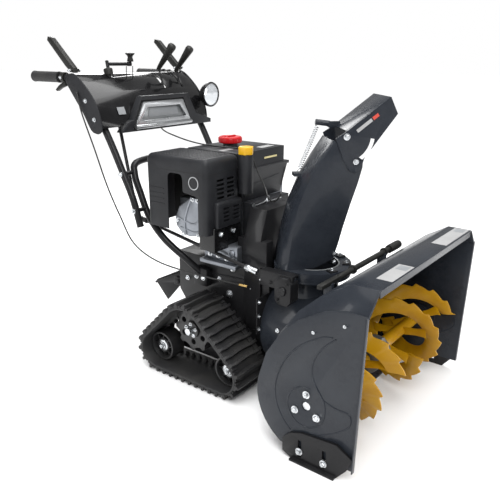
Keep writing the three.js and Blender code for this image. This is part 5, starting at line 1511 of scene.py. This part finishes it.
    def levers(self) -> None:
        """The two knobbed levers behind the cowl's slots."""
        for name, body, node, x, y, z in (
                ("speed_lever", "shift", "shift_lever", 92, 1124, 930),
                ("hood_lever", "deflector_control", "deflector_lever", 185, 1123, 922)):
            foot, waist, head = (x, y, z), (x, y + 30, z + 84), (x, y - 49, z + 167)
            stalk, knob = Form(), Form()
            stalk.tube(smooth_line([foot, (x, y + 23, z + 70), (x, y + 27, z + 84),
                                    (x, y + 16, z + 99)], 6), 3.4, 14)
            add_piece(f"{name}_stalk", stalk.mesh("stalk"), BLACK_PAINT, body)
            way = (Vector(head) - Vector(waist)).normalized()
            length = (Vector(head) - Vector(waist)).length
            profile = [(3.5, -4), (6.4, -3), (8, 6), (11, length * 0.45), (14.2, length * 0.8),
                       (15.6, length * 0.94), (14.2, length), (9, length + 3), (0, length + 4)]
            knob.lathe([(0, -4)] + profile, waist, way, 32)
            add_piece(f"{name}_knob", knob.mesh("knob"), LEVER, body, [node], 60)

    def lamp(self) -> None:
        """The headlight: bowl, rim, reflector and lens."""
        at, way = self.lamp_at, (0, -1, 0)
        x, y, z = at
        bowl, rim, lens, ring = Form(), Form(), Form(), Form()
        bowl.lathe([(0, -33), (18, -32), (30, -28), (40, -16), (46.5, -3), (47.5, 4), (43, 6),
                    (40, 4), (0, 4)], at, way, 56)
        bowl.block((266, 275.6), (1058, 1090), (900, 934))
        rim.lathe([(40.5, 3), (47.6, 3), (48, 6), (47, 9), (43.5, 11), (40.5, 9)], at, way, 64)
        lens.lathe([(0, 5), (41, 5), (41, 7.5), (34, 9.6), (20, 11.2), (0, 11.8)], at, way, 56)
        ring.lathe([(0, 4.2), (41, 4.2), (41, 5), (0, 5)], at, way, 48)
        add_piece("lamp_bowl", rounded(bowl.mesh("bowl"), 1.0), BLACK_PAINT, "lamp", ["headlight"])
        add_piece("lamp_rim", rim.mesh("rim"), GLOSS, "lamp", (), 60)
        add_piece("lamp_lens", lens.mesh("lens"), LENS, "lamp", (), 60)
        add_piece("lamp_reflector", ring.mesh("reflector"), REFLECTOR, "lamp")
        rib = Form(Matrix.Scale(MM, 4))
        rib.loft([[(-0.8, -26, 0), (0.8, -26, 0), (0.8, 26, 0), (-0.8, 26, 0)],
                  [(-0.4, -25, 1.0), (0.4, -25, 1.0), (0.4, 25, 1.0), (-0.4, 25, 1.0)]])
        rows = [((x + 8 * k, y - 10.6 + abs(k) * 0.55, z), (0, -1, 0), (1, 0, 0))
                for k in range(-3, 4)]
        add_piece("lamp_ribs", COPIES.place(rib.mesh("rib"), rows, LENS), LENS, "lamp")
        add_bolts("lamp_bolt", [((276, 1077, 917), (1, 0, 0))], "lamp", 5.0)

    def tool(self) -> bpy.types.Mesh:
        """The snow clearing tool with its paddle and ribbed grip."""
        form = Form()
        y, z = 214, 462
        form.rod((-150, y, z), (190, y, z), 8.8)
        form.rod((186, y, z), (262, y, z), 13.8, 13.0, 28)
        form.lathe([(8, -4), (14, -3), (14, 3), (8, 4)], (150, y, z), (1, 0, 0), 28)
        form.lathe([(8, -4), (14, -3), (14, 3), (8, 4)], (-60, y, z), (1, 0, 0), 28)
        form.prism([(-250, y - 8.6), (-250, y + 8.6), (-205, y + 8.6), (-140, y + 8),
                    (-140, y - 8), (-205, y - 8.6)], z - 5, z + 7, "z")
        for k in range(6):
            form.lathe([(12, -3), (14, -2), (14, 2), (12, 3)], (200 + k * 10, y, z), (1, 0, 0), 28)
        return rounded(form.mesh("tool"), 1.0, 40)


# ------------------------------------------------------------------ control cables
@dataclass
class Cables:
    """The two control cables, both fixed at each end."""

    radius: float = 2.6
    clutch: tuple = ((-268, 1180, 945), (-272, 1160, 880), (-276, 1100, 760), (-274, 1050, 640),
                     (-268, 1000, 540), (-258, 950, 450), (-240, 860, 400), (-200, 740, 372),
                     (-150, 620, 352), (-128, 560, 345))
    hood: tuple = ((40, 1130, 850), (36, 1090, 800), (22, 1000, 780), (12, 900, 768), (2, 800, 766),
                   (-12, 665, 770), (-15, 632, 757), (-8, 606, 700), (-12, 575, 655),
                   (-40, 540, 628), (-70, 500, 628), (-86, 470, 645), (-96, 452, 668))

    def run(self, name: str, node: str, points: Line) -> bpy.types.Object:
        """Args:
            name: the piece's name.
            node: the frame node that it stands for.
            points: its route in mm.

        Returns:
            The cable.
        """
        line = smooth_line(points, 6)
        length = sum((b - a).length for a, b in zip(line, line[1:]))
        mesh = Form().tube(line, self.radius, 12).mesh(name)
        cable = add_piece(name, mesh, SHEATH, "machine", [node], 60)
        return cable

    def build(self) -> None:
        """Make both cables and a ferrule at the drive cable's front end."""
        self.run("drive_cable", "clutch_cable", self.clutch)
        self.run("hood_cable", "deflector_cable", self.hood)
        ends = Form()
        for points in (self.clutch,):
            a, b = Vector(points[-1]), Vector(points[-2])
            ends.rod(a + (a - b).normalized() * 1, a + (b - a).normalized() * 26, 4.4, 3.8)
        add_piece("cable_ferrules", ends.mesh("ferrules"), BRASS, "machine")


# ------------------------------------------------------------------ studio
@dataclass
class Studio:
    """The camera, lights and pale floor."""

    camera_at: tuple = (-1.5810, -1.2822, 1.0744)
    toward: tuple = (0.7547, 0.5770, -0.3123)
    lens: float = 43.3
    roll: float = 0.2
    soft_boxes: tuple = (
        ("key", (-1.9, -2.2, 2.6), (0, -0.2, 0.5), (1.5, 1.5), 58),
        ("side", (-2.8, 1.2, 1.6), (0, 0.1, 0.5), (0.5, 2.0), 22),
        ("top", (0.4, -0.4, 3.2), (0, -0.1, 0.4), (2.2, 1.6), 46),
        ("front", (1.4, -3.0, 1.2), (0, -0.4, 0.3), (1.2, 1.0), 20),
        ("back", (1.8, 2.4, 2.2), (0, 0.3, 0.6), (1.2, 1.0), 30),
    )
    overhead: float = 2.5
    surroundings: float = 0.36
    floor_white: float = 0.93
    floor_reach: float = 30.0
    floor_drop: float = 0.0005

    def camera(self) -> None:
        """Create the camera."""
        data = bpy.data.cameras.new("camera")
        data.lens = self.lens
        data.sensor_width = 36
        data.clip_start = 0.02
        made = bpy.data.objects.new("camera", data)
        turn = Vector(self.toward).to_track_quat("-Z", "Y").to_matrix().to_4x4()
        made.matrix_world = (Matrix.Translation(self.camera_at) @ turn
                             @ Matrix.Rotation(math.radians(self.roll), 4, "Z"))
        bpy.context.scene.collection.objects.link(made)
        bpy.context.scene.camera = made

    def light(self, name: str, at: Point, aim: Point, size: Point, power: float) -> None:
        """One soft box."""
        data = bpy.data.lights.new(name, "AREA")
        data.shape = "RECTANGLE"
        data.size, data.size_y = size
        data.energy = power
        made = bpy.data.objects.new(name, data)
        way = Vector(aim) - Vector(at)
        made.matrix_world = (Matrix.Translation(at)
                             @ way.to_track_quat("-Z", "Y").to_matrix().to_4x4())
        bpy.context.scene.collection.objects.link(made)

    def build(self) -> None:
        """Create the lights, the world and the floor."""
        for lamp in self.soft_boxes:
            self.light(*lamp)
        sun = bpy.data.lights.new("overhead", "SUN")
        sun.energy = self.overhead
        sun.angle = math.radians(70)
        made = bpy.data.objects.new("overhead", sun)
        bpy.context.scene.collection.objects.link(made)
        world = bpy.data.worlds.new("studio")
        world.use_nodes = True
        nodes, links = world.node_tree.nodes, world.node_tree.links
        path = nodes.new("ShaderNodeLightPath")
        level = nodes.new("ShaderNodeMapRange")
        level.inputs["To Min"].default_value = self.surroundings
        level.inputs["To Max"].default_value = 1.0
        links.new(path.outputs["Is Camera Ray"], level.inputs["Value"])
        ground = nodes["Background"]
        ground.inputs["Color"].default_value = (1, 1, 1, 1)
        links.new(level.outputs["Result"], ground.inputs["Strength"])
        bpy.context.scene.world = world
        bpy.context.scene.view_settings.view_transform = "Standard"
        form = Form(Matrix.Identity(4))
        edge = self.floor_reach
        form.skin([[(x, y, -self.floor_drop) for x in (-edge, edge)] for y in (-edge, edge)])
        mesh = form.mesh("floor")
        floor = bpy.data.objects.new("floor", mesh)
        material = bpy.data.materials.new("floor white")
        material.use_nodes = True
        shader = material.node_tree.nodes["Principled BSDF"]
        shader.inputs["Base Color"].default_value = (*[self.floor_white] * 3, 1)
        shader.inputs["Roughness"].default_value = 0.85
        mesh.materials.append(material)
        bpy.context.scene.collection.objects.link(floor)


def main() -> None:
    """Build the machine in order and report each piece."""
    global COPIES, SPRINGS
    logging.basicConfig(level=logging.INFO, format="%(message)s", stream=sys.stdout)
    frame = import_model()
    NODES.update(frame["nodes"])
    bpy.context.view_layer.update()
    COPIES, SPRINGS = Copies(), CoilSpring()
    studio = Studio()
    studio.camera()
    Cables().build()
    for part in (Housing(), Augers(), Chute(), Tracks(), Frame(), Engine(), Controls()):
        LOG.info("building %s", type(part).__name__)
        part.build()
    studio.build()


if __name__ == "__main__":
    main()
